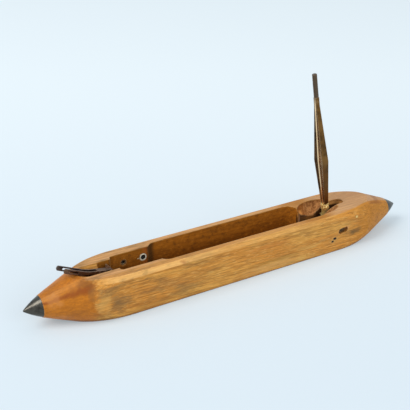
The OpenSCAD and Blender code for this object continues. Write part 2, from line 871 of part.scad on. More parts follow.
// Folded steel bracket: a base and two cheeks that carry the fork pin
module fork_bracket() {
    color(steel_color)
        translate([0, 0, fork_pocket_z])
            difference() {
                union() {
                    for (s = [-1, 1])
                        translate([0, s * cheek_y + (s > 0 ? bracket_t : 0), 0])
                            rotate([90, 0, 0])
                                linear_extrude(bracket_t)
                                    cheek_outline();
                    translate([fork_pocket_x + drive_gap, -cheek_y - bracket_t / 2, 0])
                        cube([bracket_len, 2 * cheek_y + bracket_t, bracket_t]);
                }
                rod_y(fork_x, fork_pin_z - fork_pocket_z, -2 * cheek_y, 2 * cheek_y, fork_pin_r, 48);
                for (p = screw_places)
                    translate([p[0], p[1], -over])
                        cylinder(r = screw_r, h = bracket_t + 2 * over, $fn = 32);
            }
}

// Two round-headed wood screws through the bracket and the spring's foot
module bracket_screws() {
    head_z = fork_pocket_z + bracket_t + fork_spring_t;
    color(steel_color)
        for (p = screw_places)
            translate([p[0], p[1], 0])
                difference() {
                    union() {
                        translate([0, 0, fork_pocket_z - screw_len])
                            cylinder(r = screw_r, h = screw_len + bracket_t + fork_spring_t + over / 2,
                                $fn = 32);
                        intersection() {
                            translate([0, 0, head_z - screw_dome_sink])
                                sphere(r = screw_dome_r, $fn = 48);
                            translate([-screw_head_r, -screw_head_r, head_z])
                                cube(2 * screw_head_r);
                        }
                    }
                    translate([-slot_cut_w / 2, -screw_head_r - over,
                        head_z + screw_dome_r - screw_dome_sink - slot_cut_depth])
                        cube([slot_cut_w, 2 * (screw_head_r + over), slot_cut_depth + over]);
                }
}

// Flat spring that presses the barrel, held under the screw heads
module fork_spring() {
    x0 = fork_pocket_x + spring_side_gap;
    x1 = screw_x + screw_head_r;
    x2 = fork_x + spring_past_pin;
    w = 2 * (cheek_y - spring_side_gap);
    base_z = fork_pocket_z + bracket_t;
    rise = fork_pin_z - barrel_r - spring_gap - fork_spring_t - base_z;
    lower = [for (i = [0 : spring_steps])
        [x1 + (x2 - x1) * i / spring_steps, base_z + rise * (1 - cos(180 * i / spring_steps)) / 2]];
    upper = [for (i = [spring_steps : -1 : 0]) lower[i] + [0, fork_spring_t]];
    side = concat([[x0, base_z]], lower, upper, [[x0, base_z + fork_spring_t]]);
    color(steel_color)
        difference() {
            translate([0, w / 2, 0])
                rotate([90, 0, 0])
                    linear_extrude(w)
                        polygon(side);
            for (p = screw_places)
                translate([p[0], p[1], base_z - over])
                    cylinder(r = screw_r + run_gap, h = 3 * over, $fn = 32);
        }
}

// Steel pin through both cheeks
module fork_pin() {
    y1 = cheek_y + bracket_t;
    color(steel_color) {
        rod_y(fork_x, fork_pin_z, -y1 - rivet_head_t, y1 + rivet_head_t, fork_pin_r, 48);
        for (s = [-1, 1])
            scale([1, s, 1])
                rod_y(fork_x, fork_pin_z, y1, y1 + rivet_head_t, fork_pin_r + rivet_head_grow, 48);
    }
}

// Places a fork piece: X runs from the pin towards the eye-end tip, Y up
module on_fork(y0, t) {
    translate([fork_x, y0 + t, fork_pin_z])
        rotate([90, 0, 0])
            scale([-1, 1, 1])
                linear_extrude(t)
                    children();
}

// Slope of the spine and its point at a distance along it
function spine_turn(s) = root_slope + min(max(s - root_len, 0), bend_len) / bend_r * 180 / PI;

function spine_point(s) =
    let (a = spine_turn(s), b = min(max(s - root_len, 0), bend_len))
    [0, prong_lift]
    + min(s, root_len) * [cos(root_slope), sin(root_slope)]
    + (b > 0 ? bend_r * [sin(a) - sin(root_slope), cos(root_slope) - cos(a)] : [0, 0])
    + max(s - root_len - bend_len, 0) * [cos(end_slope), sin(end_slope)];

function fork_rivet_points() = [for (s = [rivet_near_s, tongue_len - rivet_far_back]) spine_point(s)];

function spine_side(s, d) = spine_point(s) + d * [-sin(spine_turn(s)), cos(spine_turn(s))];

// Stations along the spine: its root, the steps of its bend and its end
function spine_stations(s0, s1) =
    concat([s0], [for (i = [0 : spine_steps]) root_len + bend_len * i / spine_steps], [s1]);

// Side view of a prong from s0 to a bluntly rounded end at s1
module prong_outline(s0, s1) {
    ends = spine_stations(s0, s1 + over);
    n = len(ends) - 1;
    difference() {
        polygon(concat([for (s = ends) spine_side(s, -prong_h / 2)],
            [for (i = [n : -1 : 0]) spine_side(ends[i], prong_h / 2)]));
        translate(spine_point(s1))
            rotate(end_slope)
                difference() {
                    translate([-prong_h / 2, -prong_h])
                        square(2 * prong_h);
                    translate([-prong_end_r, 0])
                        circle(r = prong_end_r, $fn = 64);
                }
    }
}

// Plan of a prong: straight beside the tongue, then spreading to its end
module prong_plan(side) {
    y0 = tongue_t / 2;
    y1 = prong_spread / 2 - prong_t / 2;
    reach = spine_point(spine_len + far_extra)[0] + over;
    scale([1, side])
        polygon([[0, y0], [tongue_len, y0], [reach, y1], [reach, y1 + prong_t],
            [tongue_len, y0 + prong_t], [0, y0 + prong_t]]);
}

// One prong with its long eye and its rivet holes
module prong(side, extra) {
    s1 = spine_len + extra;
    eye_mid = s1 - prong_eye_end - prong_eye_len / 2;
    color(bronze_color)
        intersection() {
            on_fork(-prong_spread, 2 * prong_spread)
                difference() {
                    prong_outline(barrel_r + barrel_reach, s1);
                    translate(spine_point(eye_mid))
                        rotate(end_slope)
                            obround(prong_eye_len, prong_eye_h);
                    for (p = fork_rivet_points())
                        translate(p)
                            circle(r = fork_rivet_r, $fn = 32);
                }
            translate([fork_x, 0, 0])
                linear_extrude(2 * body_h)
                    scale([-1, 1])
                        prong_plan(side);
        }
}

module prong_near() {
    prong(-1, 0);
}

module prong_far() {
    prong(1, far_extra);
}

// Barrel that turns on the fork pin, with the tongue between the prongs
module fork_barrel() {
    color(steel_color)
        difference() {
            union() {
                rod_y(fork_x, fork_pin_z, -barrel_len / 2, barrel_len / 2, barrel_r);
                on_fork(-tongue_t / 2, tongue_t)
                    polygon([spine_side(0, -prong_h / 2), spine_side(tongue_len, -prong_h / 2),
                        spine_side(tongue_len, prong_h / 2), spine_side(0, prong_h / 2)]);
            }
            rod_y(fork_x, fork_pin_z, -barrel_len, barrel_len, fork_pin_r + run_gap, 48);
            on_fork(-tongue_t, 2 * tongue_t)
                for (p = fork_rivet_points())
                    translate(p)
                        circle(r = fork_rivet_r, $fn = 32);
        }
}

// Two rivets through the prongs and the tongue
module fork_rivets() {
    y1 = tongue_t / 2 + prong_t;
    color(steel_color)
        for (p = fork_rivet_points()) {
            x = fork_x - p[0];
            z = fork_pin_z + p[1];
            rod_y(x, z, -y1 - rivet_head_t / 2, y1 + rivet_head_t / 2, fork_rivet_r, 32);
            for (s = [-1, 1])
                scale([1, s, 1])
                    rod_y(x, z, y1, y1 + rivet_head_t / 2, fork_rivet_r + rivet_head_grow, 32);
        }
}

shuttle_body();
tip_eye_end();
tip_hinge_end();
porcelain_eye();
steel_eyelet();
pivot_pin();
brass_nail();
spindle_spring();
spring_bolt();
spring_nut();
spindle_hub();
hub_bush();
hub_ferrule();
hub_rivet();
spindle_blade();
leaf_near();
leaf_far();
leaf_rivet();
fork_bracket();
bracket_screws();
fork_spring();
fork_pin();
fork_barrel();
prong_near();
prong_far();
fork_rivets();
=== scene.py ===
from math import radians

import bmesh
import bpy
from bpy.props import FloatProperty, FloatVectorProperty, PointerProperty
from mathutils import Matrix, Vector, noise


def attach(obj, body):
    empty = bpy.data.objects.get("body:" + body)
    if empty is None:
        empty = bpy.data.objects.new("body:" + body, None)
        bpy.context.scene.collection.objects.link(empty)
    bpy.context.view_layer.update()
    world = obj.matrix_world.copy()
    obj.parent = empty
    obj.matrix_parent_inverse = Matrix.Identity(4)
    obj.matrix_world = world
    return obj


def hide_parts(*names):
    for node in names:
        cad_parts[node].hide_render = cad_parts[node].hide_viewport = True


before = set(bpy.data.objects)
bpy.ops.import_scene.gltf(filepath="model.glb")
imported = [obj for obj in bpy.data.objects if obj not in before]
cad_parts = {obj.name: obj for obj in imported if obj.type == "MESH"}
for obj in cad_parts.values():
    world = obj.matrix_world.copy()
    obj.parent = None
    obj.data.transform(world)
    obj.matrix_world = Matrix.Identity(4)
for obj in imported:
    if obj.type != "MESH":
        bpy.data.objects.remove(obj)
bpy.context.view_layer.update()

bl_info = {
    "name": "Power-loom shuttle",
    "version": (1, 0, 0),
    "blender": (4, 5, 0),
    "location": "3D View > Sidebar > Shuttle",
    "description": "Finishes a wooden power-loom shuttle with its raised spindle and yarn fork",
    "category": "Object",
}

MM = 0.001

# Reach of a mark that runs right through the piece, in millimetres
THROUGH = 99.0


def paint(red, green, blue, alpha=1.0):
    """Colour as a colour picker shows it, turned into the linear values that nodes take."""
    def linear(value):
        share = value / 255
        return share / 12.92 if share <= 0.04045 else ((share + 0.055) / 1.055) ** 2.4
    return (linear(red), linear(green), linear(blue), alpha)


# Nodes


class Bench:
    """One node tree with short calls that add a node, feed its inputs and hand back an output."""

    def __init__(self, tree):
        self.tree = tree

    def add(self, kind, feeds=None, **settings):
        node = self.tree.nodes.new("ShaderNode" + kind)
        for key, value in settings.items():
            setattr(node, key, value)
        for key, value in (feeds or {}).items():
            self.feed(node.inputs[key], value)
        return node

    def feed(self, socket, value):
        """Links an output to a socket, or sets the socket to a constant."""
        if isinstance(value, bpy.types.NodeSocket):
            self.tree.links.new(value, socket)
        else:
            socket.default_value = value

    def math(self, operation, *values, clamp=False):
        node = self.add("Math", dict(enumerate(values)), operation=operation, use_clamp=clamp)
        return node.outputs[0]

    def both(self, *masks):
        """Product of masks."""
        total = masks[0]
        for mask in masks[1:]:
            total = self.math("MULTIPLY", total, mask)
        return total

    def length(self, one, two):
        """Length of a line that runs one and two along two square axes."""
        squares = self.math("ADD", self.math("MULTIPLY", one, one), self.math("MULTIPLY", two, two))
        return self.math("SQRT", squares)

    def ease(self, value, low, high):
        """0 at low, 1 at high, smooth between; high may be the lower of the two."""
        node = self.add("MapRange", interpolation_type="SMOOTHSTEP")
        ends = (low, high, 0.0, 1.0)
        if not any(isinstance(end, bpy.types.NodeSocket) for end in (low, high)) and low > high:
            ends = (high, low, 1.0, 0.0)
        self.feed(node.inputs["Value"], value)
        for name, end in zip(("From Min", "From Max", "To Min", "To Max"), ends):
            self.feed(node.inputs[name], end)
        return node.outputs["Result"]

    def span(self, value, low, high, soft):
        """1 between low and high, with soft ends."""
        rise = self.ease(value, low - soft, low + soft)
        fall = self.ease(value, high + soft, high - soft)
        return self.math("MULTIPLY", rise, fall)

    def parts(self, vector):
        return self.add("SeparateXYZ", {0: vector}).outputs

    def stretch(self, vector, x, y, z):
        return self.add("VectorMath", {0: vector, 1: (x, y, z)}, operation="MULTIPLY").outputs[0]

    def noise(self, vector, scale=1.0, detail=3.0, roughness=0.5, distortion=0.0):
        feeds = {
            "Vector": vector, "Scale": scale, "Detail": detail,
            "Roughness": roughness, "Distortion": distortion,
        }
        return self.add("TexNoise", feeds).outputs[0]

    def mix(self, share, one, two):
        node = self.add("Mix", data_type="RGBA")
        self.feed(node.inputs[0], share)
        self.feed(node.inputs[6], one)
        self.feed(node.inputs[7], two)
        return node.outputs[2]

    def tint(self, colour, mask, depth, shade):
        """Lays a shade over a colour where the mask is, at the given depth."""
        return self.mix(self.math("MULTIPLY", mask, depth), colour, shade)

    def bump(self, height, strength, distance, normal):
        feeds = {"Height": height, "Strength": strength, "Distance": distance, "Normal": normal}
        return self.add("Bump", feeds).outputs[0]

    def place(self, name, **feeds):
        """Places a shared node group; each keyword is an input's name with _ for a space."""
        tree = bpy.data.node_groups.get(name) or GROUP_MAKERS[name](name)
        node = self.add("Group", node_tree=tree)
        for key, value in feeds.items():
            self.feed(node.inputs[key.replace("_", " ")], value)
        return node.outputs

    def mark(self, mm, centre, reach, fray):
        return self.place("Mark", Vector=mm, Centre=centre, Reach=reach, Fray=fray)["Mask"]

    def marks(self, colour, mm, table, fray):
        """Lays the marks of a table over a colour: centre, reach, depth and shade of each."""
        for centre, reach, depth, shade in table:
            colour = self.tint(colour, self.mark(mm, centre, reach, fray), depth, paint(*shade))
        return colour


def new_group(name, inputs, outputs):
    """Node group with (name, kind, default) inputs and (name, kind) outputs."""
    tree = bpy.data.node_groups.new(name, "ShaderNodeTree")
    for label, kind, default in inputs:
        socket = tree.interface.new_socket(label, in_out="INPUT", socket_type="NodeSocket" + kind)
        if default is not None:
            socket.default_value = default
    for label, kind in outputs:
        tree.interface.new_socket(label, in_out="OUTPUT", socket_type="NodeSocket" + kind)
    entry = tree.nodes.new("NodeGroupInput").outputs
    leave = tree.nodes.new("NodeGroupOutput").inputs
    return tree, Bench(tree), entry, leave


def wood_figure_group(name):
    """Growth rings, long streaks, dark pores and pale rays that follow a slanted grain."""
    tree, b, entry, leave = new_group(
        name,
        [("Vector", "Vector", None), ("Slant", "Float", 0.1), ("Ring Width", "Float", 4.0),
         ("Ring Share", "Float", 0.35), ("Streak Share", "Float", 0.4), ("Fleck Share", "Float", 0.6)],
        [("Tone", "Float"), ("Fleck", "Float"), ("Ray", "Float"), ("Height", "Float")],
    )
    turned = b.add(
        "VectorRotate", {"Vector": entry["Vector"], "Angle": entry["Slant"]}, rotation_type="Y_AXIS"
    ).outputs[0]

    def strands(x, y, z, detail, roughness=0.5):
        """Noise drawn out along the grain, at the given scales per millimetre."""
        return b.noise(b.stretch(turned, x, y, z), detail=detail, roughness=roughness)

    place = b.parts(turned)
    across = b.math("ADD", b.math("MULTIPLY", place["Z"], 0.55), b.math("MULTIPLY", place["Y"], 0.83))
    turns = b.math("DIVIDE", across, entry["Ring Width"])
    turns = b.math("ADD", turns, b.math("MULTIPLY", strands(0.007, 0.04, 0.04, 2.0), 5.0))
    year = b.math("FRACT", turns)
    ring = b.math("MULTIPLY", b.math("POWER", year, 1.6), b.ease(year, 1.0, 0.9))
    streak = b.ease(strands(0.022, 0.75, 0.75, 5.0, 0.62), 0.36, 0.66)
    dash = b.ease(strands(0.05, 0.7, 0.7, 3.0, 0.6), 0.53, 0.65)
    pore = b.ease(strands(0.1, 1.3, 1.3, 2.0), 0.54, 0.64)
    fleck = b.math("MAXIMUM", dash, b.math("MULTIPLY", pore, 0.85))
    fleck = b.math("MULTIPLY", fleck, entry["Fleck Share"])
    grain = strands(0.15, 3.5, 3.5, 3.0, 0.6)
    tone = b.math("MULTIPLY", ring, entry["Ring Share"])
    tone = b.math("ADD", tone, b.math("MULTIPLY", streak, entry["Streak Share"]))
    tone = b.math("ADD", tone, b.math("MULTIPLY", b.ease(grain, 0.4, 0.7), 0.18), clamp=True)
    b.feed(leave["Tone"], tone)
    b.feed(leave["Fleck"], fleck)
    b.feed(leave["Ray"], b.ease(strands(0.12, 1.2, -1.2, 2.0), 0.55, 0.68))
    b.feed(leave["Height"], b.math("MULTIPLY_ADD", fleck, -0.6, b.math("MULTIPLY", grain, 0.5)))
    return tree


def stain_group(name):
    """Soft-edged blotches drawn out along X."""
    tree, b, entry, leave = new_group(
        name,
        [("Vector", "Vector", None), ("Size", "Float", 20.0), ("Draw Out", "Float", 3.0),
         ("Threshold", "Float", 0.55), ("Softness", "Float", 0.1)],
        [("Mask", "Float")],
    )
    across = b.math("DIVIDE", 1.0, entry["Size"])
    along = b.math("DIVIDE", across, entry["Draw Out"])
    scale = b.add("CombineXYZ", {"X": along, "Y": across, "Z": across}).outputs[0]
    vector = b.add("VectorMath", {0: entry["Vector"], 1: scale}, operation="MULTIPLY").outputs[0]
    value = b.noise(vector, detail=4.0, roughness=0.6, distortion=0.3)
    high = b.math("ADD", entry["Threshold"], entry["Softness"])
    low = b.math("SUBTRACT", entry["Threshold"], entry["Softness"])
    b.feed(leave["Mask"], b.ease(value, low, high))
    return tree


def mark_group(name):
    """One round or drawn-out mark at a given place, with a frayed rim."""
    tree, b, entry, leave = new_group(
        name,
        [("Vector", "Vector", None), ("Centre", "Vector", None), ("Reach", "Vector", None),
         ("Fray", "Float", 0.2)],
        [("Mask", "Float"), ("Distance", "Float")],
    )
    away = b.add("VectorMath", {0: entry["Vector"], 1: entry["Centre"]}, operation="SUBTRACT").outputs[0]
    away = b.add("VectorMath", {0: away, 1: entry["Reach"]}, operation="DIVIDE").outputs[0]
    length = b.add("VectorMath", {0: away}, operation="LENGTH").outputs["Value"]
    spread = b.add("VectorMath", {0: away, 1: entry["Centre"]}, operation="ADD").outputs[0]
    uneven = b.math("SUBTRACT", b.noise(spread, scale=1.3, detail=5.0, roughness=0.65), 0.5)
    length = b.math("MULTIPLY_ADD", uneven, b.math("MULTIPLY", entry["Fray"], 2.4), length)
    full = b.math("MULTIPLY_ADD", entry["Fray"], -0.5, 0.7)
    b.feed(leave["Mask"], b.math("SUBTRACT", 1.0, b.ease(length, full, 1.05)))
    b.feed(leave["Distance"], length)
    return tree


def wear_group(name):
    """Rubbed outer edges, dirt and painted shade in inner corners, and edges rounded in shading."""
    tree, b, entry, leave = new_group(
        name,
        [("Vector", "Vector", None), ("Edge Width", "Float", 0.0008), ("Corner Width", "Float", 0.004),
         ("Round", "Float", 0.0005)],
        [("Rubbed", "Float"), ("Dirt And Shade", "Float"), ("Normal", "Vector")],
    )
    edge = b.add("AmbientOcclusion", {"Distance": entry["Edge Width"]}, inside=True, samples=6)
    corner = b.add("AmbientOcclusion", {"Distance": entry["Corner Width"]}, samples=6)
    patchy = b.ease(b.noise(entry["Vector"], scale=0.35, detail=3.0), 0.3, 0.6)
    b.feed(leave["Rubbed"], b.math("MULTIPLY", b.ease(edge.outputs["AO"], 0.98, 0.45), patchy))
    b.feed(leave["Dirt And Shade"], b.ease(corner.outputs["AO"], 0.9, 0.3))
    b.feed(leave["Normal"], b.add("Bevel", {"Radius": entry["Round"]}, samples=4).outputs[0])
    return tree


def tarnish_group(name):
    """Handled metal: clouded colour, brown spots, fine scratches along X."""
    tree, b, entry, leave = new_group(
        name,
        [("Vector", "Vector", None), ("Clean", "Color", (0.2, 0.2, 0.2, 1)),
         ("Dull", "Color", (0.05, 0.05, 0.05, 1)), ("Spots", "Color", (0.1, 0.05, 0.02, 1)),
         ("Dulled Share", "Float", 0.5), ("Spot Share", "Float", 0.3), ("Cloud Size", "Float", 8.0)],
        [("Color", "Color"), ("Gloss Loss", "Float"), ("Height", "Float")],
    )
    small = b.math("DIVIDE", 1.0, entry["Cloud Size"])
    cloud = b.noise(entry["Vector"], scale=small, detail=5.0, roughness=0.62)
    middle = b.math("SUBTRACT", 0.95, b.math("MULTIPLY", entry["Dulled Share"], 0.8))
    dull = b.ease(cloud, b.math("SUBTRACT", middle, 0.16), b.math("ADD", middle, 0.16))
    pitting = b.noise(entry["Vector"], scale=1.7, detail=3.0, roughness=0.7)
    spot = b.math("MULTIPLY", b.ease(pitting, 0.54, 0.68), entry["Spot Share"])
    hair = b.noise(b.stretch(entry["Vector"], 0.25, 9.0, 9.0), detail=2.0)
    colour = b.mix(dull, entry["Clean"], entry["Dull"])
    b.feed(leave["Color"], b.mix(spot, colour, entry["Spots"]))
    loss = b.math("ADD", b.math("MULTIPLY", dull, 0.6), b.math("MULTIPLY", spot, 0.5), clamp=True)
    b.feed(leave["Gloss Loss"], loss)
    b.feed(leave["Height"], b.math("ADD", b.math("MULTIPLY", hair, 0.3), b.math("MULTIPLY", spot, -0.7)))
    return tree


GROUP_MAKERS = {
    "Wood Figure": wood_figure_group,
    "Stains": stain_group,
    "Mark": mark_group,
    "Wear": wear_group,
    "Tarnish": tarnish_group,
}


def new_material(name):
    """Material, its bench, the inputs of its Principled BSDF and the place in millimetres."""
    material = bpy.data.materials.new(name)
    material.use_nodes = True
    material.node_tree.nodes.clear()
    b = Bench(material.node_tree)
    surface = b.add("BsdfPrincipled")
    b.add("OutputMaterial", {"Surface": surface.outputs[0]})
    mm = b.stretch(b.add("TexCoord").outputs["Object"], 1.0 / MM, 1.0 / MM, 1.0 / MM)
    return material, b, surface.inputs, mm


# Wood

# Shapes of the body that its finish follows, in millimetres
TOP_Z = 39.3
SIDE_Y = 25.95
CAVITY_Y = 17.8
CAVITY_ENDS = (-131.3, 82.6)
SCOOP_ENDS = (83.4, 136.0)
SLOT_ENDS = (83.0, 136.0)
SLOT_Y = 5.2
TURN_AXIS_Z = 18.4
TURN_R = 31.1
NOSE_X = 112.5
NOSE_ARC_R = 120.0

# Where the finish changes, in millimetres: (none, full) along the axis in the name; R is the
# distance from the axis the noses are turned about, FLANK the distance down from a nose's ridge
TOP_Z_FADE = (TOP_Z - 0.5, TOP_Z - 0.05)
TOP_RIM_Y = (SIDE_Y - 1.6, SIDE_Y - 2.4)
NEAR_RIM_Y = (-16.0, -17.5)
PINK_X = (94.0, 118.0)
PALER_PINK_Y = (4.0, -8.0)
STRIP_R = (TURN_R - 0.3, TURN_R - 0.02)
STRIP_NOSES_X = (150.0, 124.0)
STRIP_HINGE_X = (112.0, 70.0)
STRIP_PALER_X = (0.0, -70.0)
STRIP_Z = (35.0, 36.0)
GREY_DIRT_X = (0.0, -110.0)
TURNED_Y = (SIDE_Y + 0.05, SIDE_Y - 1.1)
EYE_NOSE_X = (-141.0, -152.0)
EYE_NOSE_TOP_X = (-148.0, -153.0)
EYE_NOSE_Z = (TOP_Z - 0.05, TOP_Z - 1.4)
EYE_NOSE_BANDS_X = (-130.0, -150.0)
HINGE_NOSE_X = (122.0, 156.0)
HINGE_NOSE_FLANK = (-0.6, 0.9)
STEEPER_FLANK_X = (125.0, 192.0)
CREST_X = (130.0, 146.0)
CREST_Z = (TOP_Z - 0.05, TOP_Z - 0.6)
RIDGE_X = (106.0, 124.0)
CAVITY_RIM_Z = (TOP_Z - 0.3, TOP_Z - 1.0)
CAVITY_SIDE_Y = (CAVITY_Y + 0.1, CAVITY_Y - 0.1)
DEEP_CAVITY_Z = (34.0, 12.0)
EYE_POCKET_X = (-76.0, -84.0)
SCOOP_RIM_Z = (TOP_Z - 0.1, TOP_Z - 0.9)
SCOOP_SIDE_Y = (17.6, 16.8)
SCOOP_DARK_X = (99.0, 88.0)
SLOT_RIM_Z = (38.6, 36.0)
SLOT_SIDE_Y = (SLOT_Y + 0.9, SLOT_Y + 0.1)
# Painted shade in the hinge slot: darkest towards the hub, and behind the hub a painted shadow low on the
# far wall
HUB_SHADE_X = (100.0, 107.0)
SLOT_TAIL_X = (117.0, 121.0)
TAIL_SHADOW_Z = (33.2, 35.8)
# Painted shadow on the far wall past the pocket's step, painted light on the step's face and painted shade
# in the pocket's end corner
STEP_X = (-69.0, -74.0)
STEP_END_X = (-80.6, -79.4)
STEP_Y = (12.0, 14.0)
STEP_FACE_Y = (14.4, 13.7)
STEP_FACE_BACK_Y = (11.0, 12.5)
POCKET_CORNER_Y = (8.0, 10.0)

# Stretches with a look of their own: (from, to, how far the ends fade)
BROWN_TOP_X = (72.0, 104.0, 8.0)
RIDGE_FLANK = (0.6, 4.0, 1.2)
SMOKED_FLANK = (0.8, 6.5, 2.0)
SMOKED_X = (157.0, 176.0, 5.0)
STEP_FACE_X = (-84.0, -79.6, 1.0)
POCKET_CORNER_X = (-119.4, -116.4, 0.8)

# Painted light on the nose at the eye end, by height over the turning axis against the distance aside: a
# band of painted shade where the lit top turns to the side, and a painted sheen below it
SHADE_BAND = (0.62, 1.0, 0.14)
SHEEN_BAND = (1.3, 2.4, 0.3)

# Marks on the front face: centre, reach, depth and colour
FRONT_MARKS = (
    ((-126.0, -25.95, 17.0), (13.0, 5.0, 12.0), 0.5, (112, 88, 56)),
    ((-104.0, -25.95, 20.0), (16.0, 5.0, 5.0), 0.4, (150, 94, 42)),
    ((-72.0, -25.95, 22.0), (22.0, 5.0, 6.0), 0.3, (156, 108, 58)),
    ((-60.0, -25.95, 12.0), (26.0, 5.0, 6.0), 0.3, (150, 118, 66)),
    ((-142.0, -25.95, 20.0), (9.0, 5.0, 14.0), 0.45, (226, 172, 92)),
    ((-98.0, -25.95, 4.0), (40.0, 5.0, 4.5), 0.4, (158, 106, 44)),
    ((-64.0, -25.0, 37.0), (3.5, 4.0, 2.6), 0.5, (166, 84, 40)),
    ((26.0, -25.95, 28.0), (30.0, 5.0, 3.4), 0.4, (196, 118, 50)),
    ((34.0, -25.95, 10.5), (34.0, 5.0, 3.0), 0.55, (162, 124, 54)),
    ((74.0, -25.95, 14.0), (18.0, 5.0, 2.6), 0.5, (226, 178, 96)),
    ((66.0, -25.95, 5.0), (10.0, 5.0, 3.6), 0.45, (226, 176, 88)),
    ((40.0, -25.95, 6.0), (56.0, 5.0, 6.0), 0.35, (240, 192, 116)),
    ((71.6, -25.95, 6.0), (0.9, 3.0, 2.6), 0.6, (176, 104, 30)),
    ((128.5, -25.95, 17.0), (12.0, 4.0, 5.2), 0.85, (104, 80, 44)),
    ((124.0, -25.95, 27.6), (12.0, 4.0, 2.2), 0.35, (132, 100, 56)),
    ((103.0, -25.95, 12.6), (9.0, 4.0, 3.2), 0.35, (150, 112, 62)),
    ((90.0, -25.95, 17.0), (5.0, 4.0, 2.0), 0.35, (220, 176, 104)),
    ((119.6, -25.95, 23.0), (3.4, 2.0, 3.0), 0.5, (222, 160, 104)),
    ((125.8, -25.95, 36.2), (0.9, 3.0, 0.8), 0.8, (90, 62, 30)),
    ((121.5, -25.95, 37.4), (1.6, 3.0, 0.7), 0.6, (110, 74, 34)),
    ((140.0, -25.95, 26.0), (6.0, 4.0, 3.0), 0.3, (140, 100, 50)),
)

# Blotches in the polish of the noses, in the same form; the last two, paler low on the eye-end nose by the
# tip, are painted reflection of the floor's light
NOSE_MARKS = (
    ((-152.0, -15.5, 37.0), (10.0, 8.0, 4.5), 0.7, (134, 78, 22)),
    ((-150.0, -22.0, 30.0), (4.5, 5.0, 9.0), 0.5, (140, 90, 40)),
    ((-161.0, -14.0, 33.0), (9.0, 7.0, 4.0), 0.35, (150, 84, 22)),
    ((172.5, 0.0, 35.0), (7.0, 14.0, 5.0), 0.4, (132, 74, 38)),
    ((-178.0, -9.0, 25.0), (10.0, 9.0, 8.0), 0.4, (220, 148, 80)),
    ((-172.0, -10.0, 10.0), (12.0, 9.0, 4.0), 0.35, (212, 138, 80)),
)

# A nick in the far wall by the porcelain eye where the varnish is missing, and a paler patch at the
# pocket's end
YARN_NICK = (((-88.9, 13.6, 29.3), (1.1, 3.0, 0.7), 0.9, (250, 226, 176)),)
POCKET_END_MARK = (((-112.0, 8.0, 29.0), (4.5, 9.0, 2.6), 0.4, (196, 128, 62)),)

# Paler scrapes in the scooped hollow
SCOOP_MARKS = (
    ((87.0, 8.5, 33.0), (5.5, 5.5, 2.8), 0.85, (232, 156, 76)),
    ((103.0, 14.0, 36.0), (3.0, 4.0, 1.6), 0.4, (196, 136, 76)),
)

# A paler patch on the slot's far wall, then painted shadow lines and painted shade around the slot and a
# painted highlight on the lit corner by the end wall
SLOT_WALL_MARK = (((97.0, 5.3, 27.4), (8.0, 2.0, 2.6), 0.7, (172, 112, 50)),)
SLOT_SHADOWS_AND_HIGHLIGHT = (
    ((91.0, 5.6, 30.6), (9.0, 1.0, 0.9), 0.8, (62, 30, 12)),
    ((84.0, 5.3, 26.0), (0.9, 1.6, 9.0), 0.8, (206, 156, 120)),
    ((82.2, 6.2, 26.0), (1.0, 1.5, 9.0), 0.85, (46, 22, 8)),
    ((129.0, 4.0, 36.5), (5.0, 2.5, 2.4), 0.4, (92, 60, 32)),
    ((131.5, 2.5, 38.4), (3.2, 4.0, 1.6), 0.45, (92, 58, 22)),
)

# Painted shade in the recess around the pin, then painted light on the recess's two lit ends
RECESS_SHADE = (((114.4, -21.6, 21.3), (8.0, 4.2, 5.0), 0.94, (70, 54, 32)),)
RECESS_LIT_ENDS = (
    ((110.6, -24.2, 19.8), (1.8, 2.6, 1.8), 0.8, (170, 96, 40)),
    ((119.6, -24.6, 22.8), (1.8, 2.2, 2.0), 0.8, (216, 140, 84)),
)

# Woodworm holes in the front face: centre and reach
PITS = (
    ((105.0, -25.95, 14.8), (2.4, 2.0, 1.7)),
    ((102.4, -25.95, 12.2), (1.9, 2.0, 1.3)),
)
PIT_RIM_SHARE = 1.9


